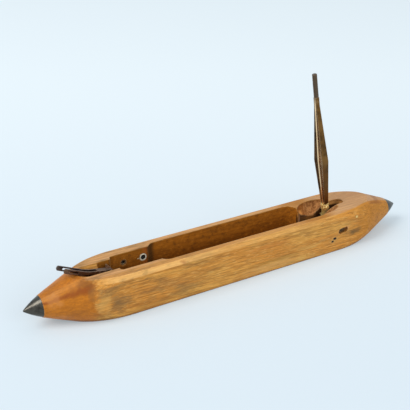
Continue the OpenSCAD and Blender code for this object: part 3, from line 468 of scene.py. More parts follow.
class WoodFinish:
    """Finish of the hardwood body, laid on layer by layer; colour holds what is there so far."""

    def __init__(self, look):
        self.look = look
        self.material, self.b, self.out, self.mm = new_material("oiled hardwood")
        b, mm = self.b, self.mm
        self.x, self.y, self.z = b.parts(mm)
        self.aside = b.math("ABSOLUTE", self.y)
        self.lift = b.math("SUBTRACT", self.z, TURN_AXIS_Z)
        self.ragged = b.math("SUBTRACT", b.noise(mm, scale=0.16, detail=4.0), 0.5)
        self.wear = b.place("Wear", Vector=mm, Edge_Width=0.0011, Corner_Width=0.006, Round=0.0008)
        self.figure = b.place(
            "Wood Figure", Vector=mm, Slant=look.grain_slant, Ring_Width=4.2, Ring_Share=0.22,
            Streak_Share=0.42, Fleck_Share=0.8,
        )
        self.colour = self.bare_wood()
        self.dry = self.dry_wood()

    def tint(self, mask, depth, shade):
        self.colour = self.b.tint(self.colour, mask, depth, shade)

    def marks(self, table, fray):
        self.colour = self.b.marks(self.colour, self.mm, table, fray)

    def toned(self, light, dark, share=1.0):
        """Light shade with the rings and streaks in the dark one."""
        return self.b.tint(light, self.figure["Tone"], share, dark)

    def frayed(self, value, amount):
        """Value made uneven, so that a border drawn from it is ragged."""
        return self.b.math("MULTIPLY_ADD", self.ragged, amount, value)

    def stains(self, size, draw_out, softness):
        feeds = {"Size": size, "Draw_Out": draw_out, "Threshold": 0.56, "Softness": softness}
        return self.b.place("Stains", Vector=self.mm, **feeds)["Mask"]

    def bare_wood(self):
        """Redder and paler drifts, then rings, streaks, rays and pores."""
        b, look = self.b, self.look
        drift = b.noise(b.stretch(self.mm, 0.012, 0.06, 0.06), detail=3.0)
        plain = b.mix(b.ease(drift, 0.38, 0.62), tuple(look.light_wood), tuple(look.warm_wood))
        colour = self.toned(plain, tuple(look.dark_wood))
        colour = b.tint(colour, self.figure["Ray"], 0.5, paint(248, 196, 112))
        return b.tint(colour, self.figure["Fleck"], 0.62, paint(134, 82, 32))

    def dry_wood(self):
        """Colour of the top face: yellower on the near rim, browner beside the scoop, then pinkish."""
        b = self.b
        dry = b.mix(b.ease(self.y, *NEAR_RIM_Y), paint(220, 168, 116), paint(210, 150, 82))
        dry = self.toned(dry, paint(180, 120, 66))
        dry = b.tint(dry, b.span(self.x, *BROWN_TOP_X), 0.85, paint(172, 106, 34))
        pink = b.mix(b.ease(self.y, *PALER_PINK_Y), paint(198, 154, 114), paint(218, 170, 124))
        return b.mix(b.ease(self.x, *PINK_X), dry, self.toned(pink, paint(178, 128, 90)))

    def top_face(self):
        """Dry top face, with a painted highlight along the edge strip where it runs out against the turned
        round.
        """
        b, x = self.b, self.x
        self.tint(b.both(b.ease(self.z, *TOP_Z_FADE), b.ease(self.aside, *TOP_RIM_Y)), 0.7, self.dry)
        far = b.math("ABSOLUTE", x)
        past = b.math("MAXIMUM", b.math("SUBTRACT", far, NOSE_X), 0.0)
        drop = b.math("DIVIDE", b.math("MULTIPLY", past, past), 2.0 * NOSE_ARC_R)
        radius = b.math("ADD", b.length(self.y, self.lift), drop)
        # Painted highlight along the eased edges where the top face meets the turned round
        strip = b.both(
            b.ease(radius, *STRIP_R), b.ease(far, *STRIP_NOSES_X), b.ease(self.z, *STRIP_Z),
            b.math("MULTIPLY_ADD", b.ease(x, *STRIP_PALER_X), 0.6, 0.4), b.ease(x, *STRIP_HINGE_X),
        )
        self.tint(strip, 0.9, self.toned(paint(252, 194, 114), paint(224, 158, 80)))

    def front_face(self):
        """Grey hand dirt in drawn-out blotches, more of it towards the eye end, and single marks."""
        b = self.b
        share = b.math("MULTIPLY_ADD", b.ease(self.x, *GREY_DIRT_X), 0.5, 0.12)
        stain = self.stains(7.0, 3.0, 0.12)
        self.colour = b.mix(b.both(stain, share), self.colour, paint(122, 92, 52))
        self.marks(FRONT_MARKS, 1.1)

    def polish(self):
        """Colour of the polished noses: reddish with a painted shade band and a painted sheen at the eye
        end, golden at the other.
        """
        b, figure = self.b, self.figure
        polish = self.toned(tuple(self.look.nose_wood), paint(150, 82, 10), 0.9)
        golden = self.toned(paint(208, 134, 36), paint(158, 96, 20), 0.9)
        golden = b.tint(golden, figure["Fleck"], 0.3, paint(120, 70, 18))
        polish = b.mix(b.ease(self.x, 0.0, 1.0), polish, golden)
        polish = b.tint(polish, self.stains(9.0, 1.6, 0.1), 0.35, paint(140, 80, 24))
        climb = self.frayed(b.math("DIVIDE", self.lift, b.math("MAXIMUM", self.aside, 1.0)), 0.5)
        banded = b.ease(self.x, *EYE_NOSE_BANDS_X)
        polish = b.tint(polish, b.both(b.span(climb, *SHADE_BAND), banded), 0.9, paint(146, 66, 0))
        return b.tint(polish, b.both(b.span(climb, *SHEEN_BAND), banded), 0.3, paint(232, 150, 50))

    def noses(self):
        """Noses turned and polished by the hand; hands back how smooth they are rubbed."""
        b, x, z = self.b, self.x, self.z
        turned = b.ease(self.frayed(self.aside, 1.4), *TURNED_Y)
        top = b.math(
            "MAXIMUM", b.ease(z, *EYE_NOSE_Z), b.ease(self.frayed(x, 10.0), *EYE_NOSE_TOP_X)
        )
        eye_end = b.both(b.ease(self.frayed(x, 14.0), *EYE_NOSE_X), turned, top)
        steep = b.math("ADD", b.ease(x, *STEEPER_FLANK_X), 1.05)
        flank = self.frayed(b.math("SUBTRACT", b.math("MULTIPLY", self.aside, steep), self.lift), 2.5)
        hinge_end = b.both(b.ease(self.frayed(x, 26.0), *HINGE_NOSE_X), b.ease(flank, *HINGE_NOSE_FLANK))
        crest = b.both(b.ease(x, *CREST_X), b.ease(flank, *reversed(HINGE_NOSE_FLANK)), b.ease(z, *CREST_Z))
        polished = b.math("ADD", eye_end, hinge_end, clamp=True)
        self.tint(crest, 0.8, self.dry)
        self.tint(polished, 0.92, self.polish())
        self.tint(b.both(b.span(flank, *RIDGE_FLANK), b.ease(x, *RIDGE_X)), 0.7, paint(216, 140, 46))
        smoked = b.both(b.span(flank, *SMOKED_FLANK), b.span(x, *SMOKED_X))
        self.tint(smoked, 0.5, paint(132, 70, 22))
        self.marks(NOSE_MARKS, 0.7)
        return b.math("MULTIPLY_ADD", hinge_end, -0.7, polished)

    def cavity(self):
        """Varnished cavity and pockets, mottled and darker with depth."""
        b, x, y = self.b, self.x, self.y
        varnish = self.toned(tuple(self.look.cavity_wood), paint(112, 62, 12), 0.9)
        varnish = b.tint(varnish, b.ease(self.z, *DEEP_CAVITY_Z), 0.6, paint(112, 60, 8))
        varnish = b.tint(varnish, b.ease(x, *EYE_POCKET_X), 0.3, paint(150, 92, 24))
        mottle = b.noise(b.stretch(self.mm, 0.22, 0.3, 0.3), detail=4.0, roughness=0.65)
        varnish = b.tint(varnish, b.ease(mottle, 0.53, 0.66), 0.5, paint(206, 128, 38))
        varnish = b.tint(varnish, b.ease(mottle, 0.47, 0.34), 0.55, paint(88, 50, 10))
        # Painted shadow that the pocket's step casts on the cavity's far wall
        step_shadow = b.both(b.ease(x, *STEP_X), b.ease(x, *STEP_END_X), b.ease(y, *STEP_Y))
        varnish = b.tint(varnish, step_shadow, 0.85, paint(56, 38, 16))
        # Painted light on the lit face of the pocket's step
        face = b.both(b.span(x, *STEP_FACE_X), b.ease(y, *STEP_FACE_Y), b.ease(y, *STEP_FACE_BACK_Y))
        varnish = b.tint(varnish, face, 0.5, paint(186, 98, 40))
        # Painted shade in the rounded corner at the pocket's end
        corner = b.both(b.span(x, *POCKET_CORNER_X), b.ease(y, *POCKET_CORNER_Y))
        varnish = b.tint(varnish, corner, 0.7, paint(62, 40, 14))
        varnish = b.marks(varnish, self.mm, YARN_NICK, 0.5)
        varnish = b.marks(varnish, self.mm, POCKET_END_MARK, 1.0)
        below = b.ease(self.z, *CAVITY_RIM_Z)
        within = b.both(b.ease(self.aside, *CAVITY_SIDE_Y), below, b.span(x, *CAVITY_ENDS, 0.4))
        self.tint(within, 0.95, varnish)

    def scoop(self):
        """Scooped hollow: raw, reddish, with paler scrapes."""
        b, x = self.b, self.x
        scrape = b.noise(b.stretch(self.mm, 0.5, 0.5, 0.3), detail=4.0, roughness=0.62)
        raw = b.mix(b.ease(scrape, 0.4, 0.6), paint(136, 84, 38), paint(186, 126, 70))
        raw = b.tint(raw, b.ease(x, *SCOOP_DARK_X), 0.75, paint(158, 86, 4))
        raw = b.marks(raw, self.mm, SCOOP_MARKS, 0.7)
        below = b.ease(self.z, *SCOOP_RIM_Z)
        hollow = b.both(below, b.ease(self.aside, *SCOOP_SIDE_Y), b.span(x, *SCOOP_ENDS, 0.4))
        self.tint(hollow, 0.95, raw)

    def slot(self):
        """Hinge slot in painted shade, darkest around the hub; behind the hub a painted shadow low on the
        wall and paler wood above.
        """
        b, x = self.b, self.x
        # Painted shade in the slot, darkest by the hub
        slot_shade = b.mix(b.ease(x, *HUB_SHADE_X), paint(116, 80, 44), paint(54, 30, 9))
        slot_shade = b.marks(slot_shade, self.mm, SLOT_WALL_MARK, 0.5)
        # Behind the hub: painted shadow low on the far wall, paler wood above
        tail = b.mix(b.ease(self.z, *TAIL_SHADOW_Z), paint(72, 42, 18), paint(228, 162, 88))
        slot_shade = b.mix(b.ease(x, *SLOT_TAIL_X), slot_shade, tail)
        beside = b.ease(self.aside, *SLOT_SIDE_Y)
        self.tint(b.both(beside, b.span(x, *SLOT_ENDS, 0.3), b.ease(self.z, *SLOT_RIM_Z)), 0.94, slot_shade)
        self.marks(SLOT_SHADOWS_AND_HIGHLIGHT, 0.3)

    def use(self):
        """Painted shade in the recess around the pin with painted light on its ends, dirt and painted shade
        in the corners, and rubbed edges.
        """
        self.marks(RECESS_SHADE, 0.2)
        self.marks(RECESS_LIT_ENDS, 0.4)
        # Dirt and painted shade in the inner corners
        self.tint(self.wear["Dirt And Shade"], 0.5, paint(84, 46, 14))
        self.tint(self.wear["Rubbed"], self.look.edge_wear, paint(236, 184, 120))

    def worm_holes(self):
        """Woodworm holes with pale rims, their insides painted dark as painted shade; hands back the height
        of the wood with its holes.
        """
        b = self.b
        height = self.figure["Height"]
        for centre, reach in PITS:
            rim = tuple(part * PIT_RIM_SHARE for part in reach)
            self.tint(b.mark(self.mm, centre, rim, 0.6), 0.35, paint(220, 172, 100))
            hole = b.mark(self.mm, centre, reach, 0.25)
            # The hole's inside painted dark as painted shade
            self.tint(hole, 1.0, paint(30, 18, 10))
            height = b.math("MULTIPLY_ADD", hole, -3.0, height)
        return height

    def surface(self, smooth, height):
        """Feeds the Principled BSDF with the finished colour, gloss and relief."""
        b, out = self.b, self.out
        rough = b.math("MULTIPLY_ADD", self.figure["Fleck"], 0.1, 0.58)
        b.feed(out["Base Color"], self.colour)
        b.feed(out["Roughness"], b.math("MULTIPLY_ADD", smooth, -0.15, rough))
        b.feed(out["Normal"], b.bump(height, 0.4, 0.00025, self.wear["Normal"]))
        b.feed(out["Coat Weight"], b.math("MULTIPLY_ADD", smooth, 0.03, 0.01))
        out["Coat Roughness"].default_value = 0.3
        out["Specular IOR Level"].default_value = 0.22


def wood_material(look):
    """Oiled hardwood: pale front, polished noses, varnished cavity and a hinge slot in painted shade."""
    wood = WoodFinish(look)
    wood.top_face()
    wood.front_face()
    smooth = wood.noses()
    wood.cavity()
    wood.scoop()
    wood.slot()
    wood.use()
    height = wood.worm_holes()
    wood.surface(smooth, height)
    return wood.material


# Metal and porcelain

# Heights on the raised spindle: where its blade becomes a round rod, where its leaves bow out most
ROD_FOOT_Z = 150.0
LEAF_BOW_Z = 84.0

# Middle of the porcelain eye, the radius of its face and that of the painted shade in its bore
EYE_CENTRE = (-84.0, 19.0, 29.4)
EYE_FACE_R = 3.5
EYE_BORE_R = 2.4


def metal_material(name, clean, dull, spots, share=0.5, spot_share=0.4, cloud=8.0, rough=0.32,
                   metallic=0.9, scratch=0.25, edge=None, above=None, marks=()):
    """Handled metal; above gives a height and the clean and dull colours over it."""
    material, b, out, mm = new_material(name)
    if above:
        height, clean_above, dull_above = above
        level = b.ease(b.parts(mm)["Z"], height - 5.0, height + 5.0)
        clean = b.mix(level, clean, clean_above)
        dull = b.mix(level, dull, dull_above)
    patina = b.place(
        "Tarnish", Vector=mm, Clean=clean, Dull=dull, Spots=spots, Dulled_Share=share,
        Spot_Share=spot_share, Cloud_Size=cloud,
    )
    wear = b.place("Wear", Vector=mm, Edge_Width=0.0004, Corner_Width=0.0015, Round=0.00022)
    colour = b.tint(patina["Color"], wear["Dirt And Shade"], 0.5, spots)
    if edge:
        colour = b.tint(colour, wear["Rubbed"], 0.6, edge)
    b.feed(out["Base Color"], b.marks(colour, mm, marks, 0.3))
    b.feed(out["Roughness"], b.math("MULTIPLY_ADD", patina["Gloss Loss"], 0.25, rough))
    b.feed(out["Normal"], b.bump(patina["Height"], scratch, 0.00012, wear["Normal"]))
    out["Metallic"].default_value = metallic
    return material


def porcelain_material(look):
    """White glaze, yellowed and chipped, with painted shade in the bore."""
    material, b, out, mm = new_material("glazed porcelain")

    def from_axis(radius, fray):
        """Distance from the eye's axis, 1 at the given radius."""
        reach = (radius, THROUGH, radius)
        return b.place("Mark", Vector=mm, Centre=EYE_CENTRE, Reach=reach, Fray=fray)["Distance"]

    wear = b.place("Wear", Vector=mm, Edge_Width=0.0004, Corner_Width=0.002, Round=0.0002)
    speck = b.place("Stains", Vector=mm, Size=0.9, Draw_Out=1.0, Threshold=0.66, Softness=0.05)["Mask"]
    colour = b.tint(tuple(look.porcelain), speck, 0.35, paint(176, 164, 132))
    colour = b.tint(colour, wear["Dirt And Shade"], 0.2, paint(120, 96, 60))
    colour = b.mix(b.ease(from_axis(EYE_FACE_R, 0.06), 1.06, 0.96), paint(112, 76, 34), colour)
    # Painted shade in the bore
    colour = b.tint(colour, b.ease(from_axis(EYE_BORE_R, 0.04), 1.02, 0.92), 0.97, paint(40, 30, 16))
    b.feed(out["Base Color"], colour)
    b.feed(out["Roughness"], b.math("MULTIPLY_ADD", speck, 0.2, 0.2))
    out["Coat Weight"].default_value = 0.5
    out["Coat Roughness"].default_value = 0.08
    return material


# The collar's leaning axis: its X at the pivot's height and how far it leans per millimetre of rise
COLLAR_X = 114.0
PIVOT_Z = 21.3
COLLAR_LEAN = 0.162

# Radius inside which the collar keeps its exact shape, and the width over which its lumps set in
COLLAR_BORE_R = 2.8
COLLAR_BLEND = 0.6

# Lumps of braze on the collar: place, reach and rise, in millimetres
BRAZE_LUMPS = (
    ((108.0, -2.5, 37.2), 1.5, 0.7),
    ((109.7, -4.2, 37.6), 1.4, 0.45),
    ((107.0, 0.4, 39.0), 1.5, 0.6),
    ((110.6, -3.4, 40.4), 1.3, 0.3),
    ((107.4, 1.2, 36.0), 1.3, 0.4),
    ((114.0, 0.8, 37.6), 1.6, 0.5),
    ((110.4, 3.6, 38.4), 1.4, 0.4),
)


def joined_copy(name, *nodes):
    """New piece with the shape of the given CAD nodes together."""
    form = bmesh.new()
    for node in nodes:
        form.from_mesh(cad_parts[node].data)
    mesh = bpy.data.meshes.new(name)
    form.to_mesh(mesh)
    form.free()
    return bpy.data.objects.new(name, mesh)


def even_faces(context, piece):
    """Turns a piece into one closed skin of small even faces."""
    remesh = piece.modifiers.new("even faces", "REMESH")
    remesh.mode = "VOXEL"
    remesh.voxel_size = 0.24 * MM
    shown = piece.evaluated_get(context.evaluated_depsgraph_get())
    mesh = bpy.data.meshes.new_from_object(shown)
    piece.modifiers.clear()
    piece.data = mesh
    mesh.polygons.foreach_set("use_smooth", [True] * len(mesh.polygons))


def raise_lumps(mesh):
    """Makes the collar's outer skin uneven, as brazing leaves it."""
    places = [vertex.co / MM for vertex in mesh.vertices]
    normals = [vertex.normal.copy() for vertex in mesh.vertices]
    for vertex, place, normal in zip(mesh.vertices, places, normals):
        rise = 0.4 * noise.noise(place * 0.7) + 0.15 * noise.noise(place * 2.1)
        for centre, reach, height in BRAZE_LUMPS:
            near = max(0.0, 1.0 - (place - Vector(centre)).length / reach)
            rise += height * near * near * (3.0 - 2.0 * near)
        axis_x = COLLAR_X - COLLAR_LEAN * (place.z - PIVOT_Z)
        radius = Vector((place.x - axis_x, place.y)).length
        outer = min(1.0, max(0.0, (radius - COLLAR_BORE_R) / COLLAR_BLEND))
        vertex.co += normal * (rise * outer * MM)


def dress(material, *nodes):
    """Gives CAD nodes a finish and checks that each one is there."""
    for name in nodes:
        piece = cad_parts.get(name)
        if piece is None:
            raise RuntimeError(f"the frame has no piece called {name}")
        if not piece.material_slots:
            piece.data.materials.append(None)
        for slot in piece.material_slots:
            slot.material = material


# Settings


def colour_setting(name, description, red, green, blue):
    """Colour property with its default as a colour picker shows it."""
    return FloatVectorProperty(
        name=name, description=description, default=paint(red, green, blue), size=4, min=0.0, max=1.0,
        subtype="COLOR",
    )


class ShuttleWood(bpy.types.PropertyGroup):
    """Finish of the wooden body."""

    light_wood: colour_setting("Light wood", "Lightest tone of the wood between its rings", 236, 172, 80)
    warm_wood: colour_setting("Warm wood", "Redder tone that drifts through the light wood", 230, 154, 62)
    dark_wood: colour_setting("Dark wood", "Tone of the rings and streaks", 172, 106, 36)
    nose_wood: colour_setting("Nose wood", "Tone of the polished nose at the eye end", 204, 118, 14)
    cavity_wood: colour_setting("Cavity wood", "Tone of the varnished cavity and pockets", 188, 112, 20)
    grain_slant: FloatProperty(
        name="Grain slant", description="Angle between the grain and the length of the body",
        default=radians(-2.5), min=radians(-20.0), max=radians(20.0), subtype="ANGLE",
    )
    edge_wear: FloatProperty(
        name="Edge wear", description="How much lighter the rubbed edges are", default=0.55, min=0.0,
        max=1.0, subtype="FACTOR",
    )


class ShuttleMetal(bpy.types.PropertyGroup):
    """Finish of the steel, brass and porcelain fittings."""

    tip_steel: colour_setting("Tip steel", "Polished steel of the two cones", 84, 80, 72)
    spindle_steel: colour_setting("Spindle steel", "Browned steel of the near spring leaf", 108, 68, 26)
    fork_steel: colour_setting("Fork steel", "Dark oily steel of the fork's near prong", 114, 88, 70)
    brass: colour_setting("Brass", "Dull brass of the hub, ferrule and nail", 250, 212, 132)
    porcelain: colour_setting("Porcelain", "Glazed porcelain of the yarn eye", 250, 242, 214)


class ShuttleStage(bpy.types.PropertyGroup):
    """Floor, lamps and camera."""

    floor_near: colour_setting("Near floor", "Colour of the floor in front of the shuttle", 226, 237, 243)
    floor_far: colour_setting("Far floor", "Colour of the floor behind the shuttle", 243, 252, 255)
    floor_glow: FloatProperty(
        name="Floor glow", default=0.33, min=0.0, max=1.0, subtype="FACTOR",
        description="How much of the floor's own colour the camera sees without its shading",
    )
    sky_light: FloatProperty(
        name="Sky light", description="Strength of the even light from all around", default=0.62,
        min=0.0, max=2.0,
    )
    key_power: FloatProperty(
        name="Key lamp", description="Power of the large soft lamp at the upper left", default=76.0,
        min=0.0, max=500.0, unit="POWER",
    )
    lens: FloatProperty(
        name="Lens", description="Focal length of the camera in millimetres", default=75.24,
        min=20.0, max=300.0, unit="CAMERA",
    )


# Operators


class SHUTTLE_OT_body(bpy.types.Operator):
    """Finish the hardwood body"""

    bl_idname = "shuttle.body"
    bl_label = "Wooden Body"

    def execute(self, context):
        dress(wood_material(context.scene.shuttle_wood), "shuttle_body")
        return {"FINISHED"}


class SHUTTLE_OT_tips(bpy.types.Operator):
    """Finish the two steel cones"""

    bl_idname = "shuttle.tips"
    bl_label = "Steel Tips"

    def execute(self, context):
        look = context.scene.shuttle_metal
        steel = metal_material(
            "tip steel", tuple(look.tip_steel), paint(48, 44, 40), paint(60, 44, 32), share=0.45,
            spot_share=0.3, rough=0.24, edge=paint(112, 102, 88),
        )
        dress(steel, "tip_eye_end", "tip_hinge_end")
        return {"FINISHED"}


class SHUTTLE_OT_eyes(bpy.types.Operator):
    """Finish the porcelain eye and the steel eyelet"""

    bl_idname = "shuttle.eyes"
    bl_label = "Yarn Eyes"

    def execute(self, context):
        dress(porcelain_material(context.scene.shuttle_metal), "porcelain_eye")
        eyelet = metal_material(
            "eyelet steel", paint(196, 168, 124), paint(140, 112, 76), paint(76, 52, 28), share=0.4,
            cloud=2.0, rough=0.4, metallic=0.45, edge=paint(220, 196, 156),
            # The eyelet's bore painted dark as painted shade
            marks=(((-103.5, 19.0, 29.4), (2.2, THROUGH, 2.2), 1.0, (50, 28, 8)),),
        )
        dress(eyelet, "steel_eyelet")
        return {"FINISHED"}


class SHUTTLE_OT_pivot(bpy.types.Operator):
    """Finish the pivot pin and its bush, the nail and the spring under the hub"""

    bl_idname = "shuttle.pivot"
    bl_label = "Pivot and Spring"

    def execute(self, context):
        look = context.scene.shuttle_metal
        steel = metal_material(
            "oily steel", paint(96, 88, 80), paint(44, 38, 34), paint(78, 46, 26), share=0.6,
            spot_share=0.6, cloud=5.0, rough=0.38, edge=paint(140, 134, 126),
        )
        dress(steel, "spindle_spring", "spring_bolt", "spring_nut", "hub_bush")
        pin = metal_material(
            "pin steel", paint(112, 92, 62), paint(78, 62, 40), paint(90, 60, 30), share=0.6,
            spot_share=0.6, cloud=4.0, rough=0.42, metallic=0.7, edge=paint(140, 120, 90),
        )
        dress(pin, "pivot_pin")
        brass = metal_material(
            "nail brass", tuple(look.brass), paint(150, 112, 58), paint(90, 62, 30), share=0.3,
            spot_share=0.3, cloud=2.0, rough=0.28, metallic=1.0,
        )
        dress(brass, "brass_nail")
        return {"FINISHED"}


class SHUTTLE_OT_hub(bpy.types.Operator):
    """Finish the brass hub and braze its ferrule and rivet into a lumpy collar"""

    bl_idname = "shuttle.hub"
    bl_label = "Brass Hub"

    def execute(self, context):
        look = context.scene.shuttle_metal
        brass = metal_material(
            "cast brass", tuple(look.brass), paint(206, 166, 98), paint(112, 84, 40), share=0.4,
            spot_share=0.6, cloud=2.5, rough=0.27, metallic=0.6, scratch=0.9, edge=paint(255, 236, 176),
            # Marks: a painted highlight on the lit neck, painted shade over the lower hub and painted
            # shadow at its lower left
            marks=(
                ((108.8, -0.4, 31.8), (3.2, 4.0, 3.2), 0.95, (255, 222, 134)),
                ((114.0, 0.0, 21.3), (10.2, THROUGH, 10.2), 0.85, (44, 26, 10)),
                ((106.6, 4.2, 26.2), (4.6, 5.6, 3.6), 1.0, (36, 18, 6)),
            ),
        )
        dress(brass, "spindle_hub", "hub_ferrule", "hub_rivet")
        collar = joined_copy("brazed_collar", "hub_ferrule", "hub_rivet")
        context.scene.collection.objects.link(collar)
        even_faces(context, collar)
        raise_lumps(collar.data)
        collar.data.materials.clear()
        collar.data.materials.append(brass)
        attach(collar, "spindle")
        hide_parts("hub_ferrule", "hub_rivet")
        return {"FINISHED"}


class SHUTTLE_OT_spindle(bpy.types.Operator):
    """Finish the spindle's blade and its two spring leaves"""

    bl_idname = "shuttle.spindle"
    bl_label = "Split Spindle"

    def execute(self, context):
        look = context.scene.shuttle_metal
        steel = metal_material(
            "browned spindle steel", tuple(look.spindle_steel), paint(86, 58, 28), paint(66, 38, 12),
            share=0.5, spot_share=0.45, cloud=9.0, rough=0.3, edge=paint(190, 160, 124),
            above=(LEAF_BOW_Z, paint(130, 92, 46), paint(86, 60, 28)),
        )
        dress(steel, "leaf_near", "leaf_rivet")
        # The far leaf gets a darker, greyer copy of the spindle steel as painted shade
        dark = metal_material(
            "spindle steel in painted shade", paint(104, 84, 62), paint(64, 48, 32), paint(62, 42, 24),
            share=0.5, spot_share=0.45, cloud=9.0, rough=0.32, edge=paint(150, 132, 110),
            marks=(((107.5, 3.0, 46.0), (8.0, 4.0, 12.0), 0.7, (204, 170, 128)),),
        )
        dress(dark, "leaf_far")
        # The blade's pale colour below the rod's foot is partly its brighter steel and partly painted
        # highlight on its lit face
        blade = metal_material(
            "blade steel with painted highlight", paint(250, 212, 162), paint(210, 160, 108), paint(96, 64, 34),
            share=0.4, spot_share=0.3, cloud=9.0, rough=0.26, edge=paint(240, 206, 164),
            above=(ROD_FOOT_Z, paint(98, 80, 62), paint(72, 56, 40)),
        )
        dress(blade, "spindle_blade")
        return {"FINISHED"}


class SHUTTLE_OT_fork(bpy.types.Operator):
    """Finish the yarn fork and the bracket that carries it"""

    bl_idname = "shuttle.fork"
    bl_label = "Yarn Fork"

    def execute(self, context):
        look = context.scene.shuttle_metal
        steel = metal_material(
            "fork steel", tuple(look.fork_steel), paint(70, 52, 42), paint(96, 56, 34), share=0.45,
            spot_share=0.4, cloud=4.0, rough=0.36, edge=paint(160, 130, 106),
            # Painted shadow along the near prong's lower part
            marks=(((-146.0, -2.8, 36.0), (8.0, 3.0, 1.5), 0.9, (36, 16, 8)),),
        )
        dress(steel, "prong_near", "fork_rivets", "fork_barrel")
        # The far prong gets a darker copy of the fork steel and a painted shadow on its inner face between
        # the prongs
        dark = metal_material(
            "fork steel in painted shade", paint(92, 78, 70), paint(54, 44, 40), paint(70, 32, 18), share=0.5,
            spot_share=0.5, cloud=4.0, rough=0.36, edge=paint(150, 124, 106),
            marks=(((-154.5, 1.8, 41.5), (7.0, 2.0, 5.0), 0.7, (58, 24, 14)),),
        )
        dress(dark, "prong_far")
        sheet = metal_material(
            "bracket steel", paint(140, 106, 76), paint(94, 66, 42), paint(104, 62, 32), share=0.45,
            spot_share=0.6, cloud=4.0, rough=0.42, metallic=0.7, edge=paint(206, 172, 136),
            # A painted highlight on the lit cheek of the bracket
            marks=(((-122.0, 4.8, 34.4), (3.2, 2.0, 3.0), 0.7, (206, 160, 126)),),
        )
        dress(sheet, "fork_bracket", "fork_pin", "fork_spring", "bracket_screws")
        return {"FINISHED"}


# Stage, in metres

# Colour that the far floor and the sky share, so that no horizon shows, and that of the sky's light
BACKDROP = paint(228, 238, 246)
SKY_LIGHT_COLOUR = paint(230, 241, 252)

# Half the floor's width, and the ring in which the floor's colour runs over into the backdrop
FLOOR_HALF = 6.0
BACKDROP_RING = (1.6, 4.5)

# The floor turns from its near to its far colour between these places along the view
VIEW_X, VIEW_Y = 0.51, 0.86
FLOOR_SHADE = (-0.3, 0.7)

# Lamps: name, place, width and share of the key lamp's power
LAMP_AIM = Vector((0.0, 0.0, 0.02))
LAMPS = (
    ("key lamp", (-2.5, 0.1, 3.0), 2.3, 1.0),
    ("fill lamp", (0.6, -2.8, 1.5), 2.0, 0.3),
)

# Camera fitted to the photograph's straight edges
CAMERA_PLACE = Vector((-0.38386, -0.59503, 0.40407))
CAMERA_FORWARD = Vector((0.4642, 0.7740, -0.4308))
SENSOR_WIDTH = 36.0


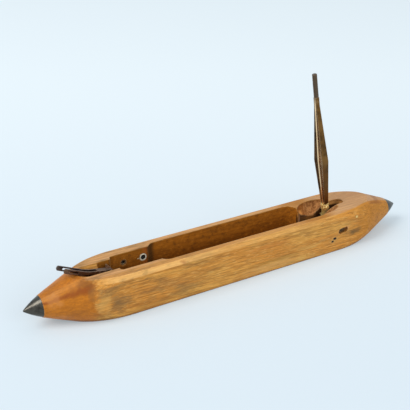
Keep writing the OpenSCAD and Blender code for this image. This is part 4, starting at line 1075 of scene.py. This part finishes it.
class SHUTTLE_OT_stage(bpy.types.Operator):
    """Make the floor, the lamps, the sky and the camera"""

    bl_idname = "shuttle.stage"
    bl_label = "Stage"

    def execute(self, context):
        look = context.scene.shuttle_stage
        self.floor(context, look)
        self.world(context, look)
        self.lamps(context, look)
        self.camera(context, look)
        context.scene.view_settings.view_transform = "Standard"
        return {"FINISHED"}

    def floor(self, context, look):
        mesh = bpy.data.meshes.new("floor")
        corners = [(x * FLOOR_HALF, y * FLOOR_HALF, 0.0) for x, y in ((-1, -1), (1, -1), (1, 1), (-1, 1))]
        mesh.from_pydata(corners, [], [(0, 1, 2, 3)])
        floor = bpy.data.objects.new("floor", mesh)
        context.scene.collection.objects.link(floor)
        material = bpy.data.materials.new("pale floor")
        material.use_nodes = True
        material.node_tree.nodes.clear()
        b = Bench(material.node_tree)
        place = b.parts(b.add("TexCoord").outputs["Object"])
        x, y = place["X"], place["Y"]
        along = b.math("ADD", b.math("MULTIPLY", x, VIEW_X), b.math("MULTIPLY", y, VIEW_Y))
        colour = b.mix(b.ease(along, *FLOOR_SHADE), tuple(look.floor_near), tuple(look.floor_far))
        away = b.ease(b.length(x, y), *BACKDROP_RING)
        lit = b.add("BsdfDiffuse", {"Color": colour})
        shown = b.add("Emission", {"Color": b.mix(away, colour, BACKDROP), "Strength": 1.0})
        share = b.math("MULTIPLY", self.seen(b), b.math("MAXIMUM", away, look.floor_glow))
        both = b.add("MixShader", {0: share, 1: lit.outputs[0], 2: shown.outputs[0]})
        b.add("OutputMaterial", {"Surface": both.outputs[0]})
        mesh.materials.append(material)

    def seen(self, b):
        """1 where the camera, a gloss or a glass looks at the surroundings."""
        path = b.add("LightPath").outputs
        looks = b.math("MAXIMUM", path["Is Camera Ray"], path["Is Glossy Ray"])
        return b.math("MAXIMUM", looks, path["Is Transmission Ray"])

    def world(self, context, look):
        world = bpy.data.worlds.new("studio")
        world.use_nodes = True
        world.node_tree.nodes.clear()
        b = Bench(world.node_tree)
        light = b.add("Background", {"Color": SKY_LIGHT_COLOUR, "Strength": look.sky_light})
        shown = b.add("Background", {"Color": BACKDROP, "Strength": 1.0})
        sky = b.add("MixShader", {0: self.seen(b), 1: light.outputs[0], 2: shown.outputs[0]})
        b.add("OutputWorld", {"Surface": sky.outputs[0]})
        context.scene.world = world

    def lamps(self, context, look):
        for name, place, width, share in LAMPS:
            data = bpy.data.lights.new(name, "AREA")
            data.shape = "DISK"
            data.size = width
            data.energy = look.key_power * share
            lamp = bpy.data.objects.new(name, data)
            lamp.location = place
            lamp.rotation_euler = (LAMP_AIM - Vector(place)).to_track_quat("-Z", "Y").to_euler()
            context.scene.collection.objects.link(lamp)

    def camera(self, context, look):
        data = bpy.data.cameras.new("camera")
        data.lens = look.lens
        data.sensor_width = SENSOR_WIDTH
        camera = bpy.data.objects.new("camera", data)
        forward = CAMERA_FORWARD.normalized()
        right = forward.cross(Vector((0, 0, 1))).normalized()
        up = right.cross(forward)
        turn = Matrix((right, up, -forward)).transposed()
        camera.matrix_world = Matrix.Translation(CAMERA_PLACE) @ turn.to_4x4()
        context.scene.collection.objects.link(camera)
        context.scene.camera = camera


OPERATORS = (
    SHUTTLE_OT_body, SHUTTLE_OT_tips, SHUTTLE_OT_eyes, SHUTTLE_OT_pivot, SHUTTLE_OT_hub,
    SHUTTLE_OT_spindle, SHUTTLE_OT_fork, SHUTTLE_OT_stage,
)


class SHUTTLE_PT_panel(bpy.types.Panel):
    """Lists the makers of the shuttle's pieces and their settings"""

    bl_idname = "SHUTTLE_PT_panel"
    bl_label = "Power-loom Shuttle"
    bl_space_type = "VIEW_3D"
    bl_region_type = "UI"
    bl_category = "Shuttle"

    def draw(self, context):
        for operator in OPERATORS:
            self.layout.operator(operator.bl_idname)
        for name in SETTINGS:
            settings = getattr(context.scene, name)
            box = self.layout.box()
            for label in settings.__annotations__:
                box.prop(settings, label)


SETTINGS = {"shuttle_wood": ShuttleWood, "shuttle_metal": ShuttleMetal, "shuttle_stage": ShuttleStage}


def register():
    for cls in (*SETTINGS.values(), *OPERATORS, SHUTTLE_PT_panel):
        bpy.utils.register_class(cls)
    for name, cls in SETTINGS.items():
        setattr(bpy.types.Scene, name, PointerProperty(type=cls))


def unregister():
    for name in SETTINGS:
        delattr(bpy.types.Scene, name)
    for cls in (SHUTTLE_PT_panel, *reversed(OPERATORS), *SETTINGS.values()):
        bpy.utils.unregister_class(cls)


def main():
    """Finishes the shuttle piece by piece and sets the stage."""
    register()
    bpy.ops.shuttle.body()
    bpy.ops.shuttle.tips()
    bpy.ops.shuttle.eyes()
    bpy.ops.shuttle.pivot()
    bpy.ops.shuttle.hub()
    bpy.ops.shuttle.spindle()
    bpy.ops.shuttle.fork()
    bpy.ops.shuttle.stage()


if __name__ == "__main__":
    main()
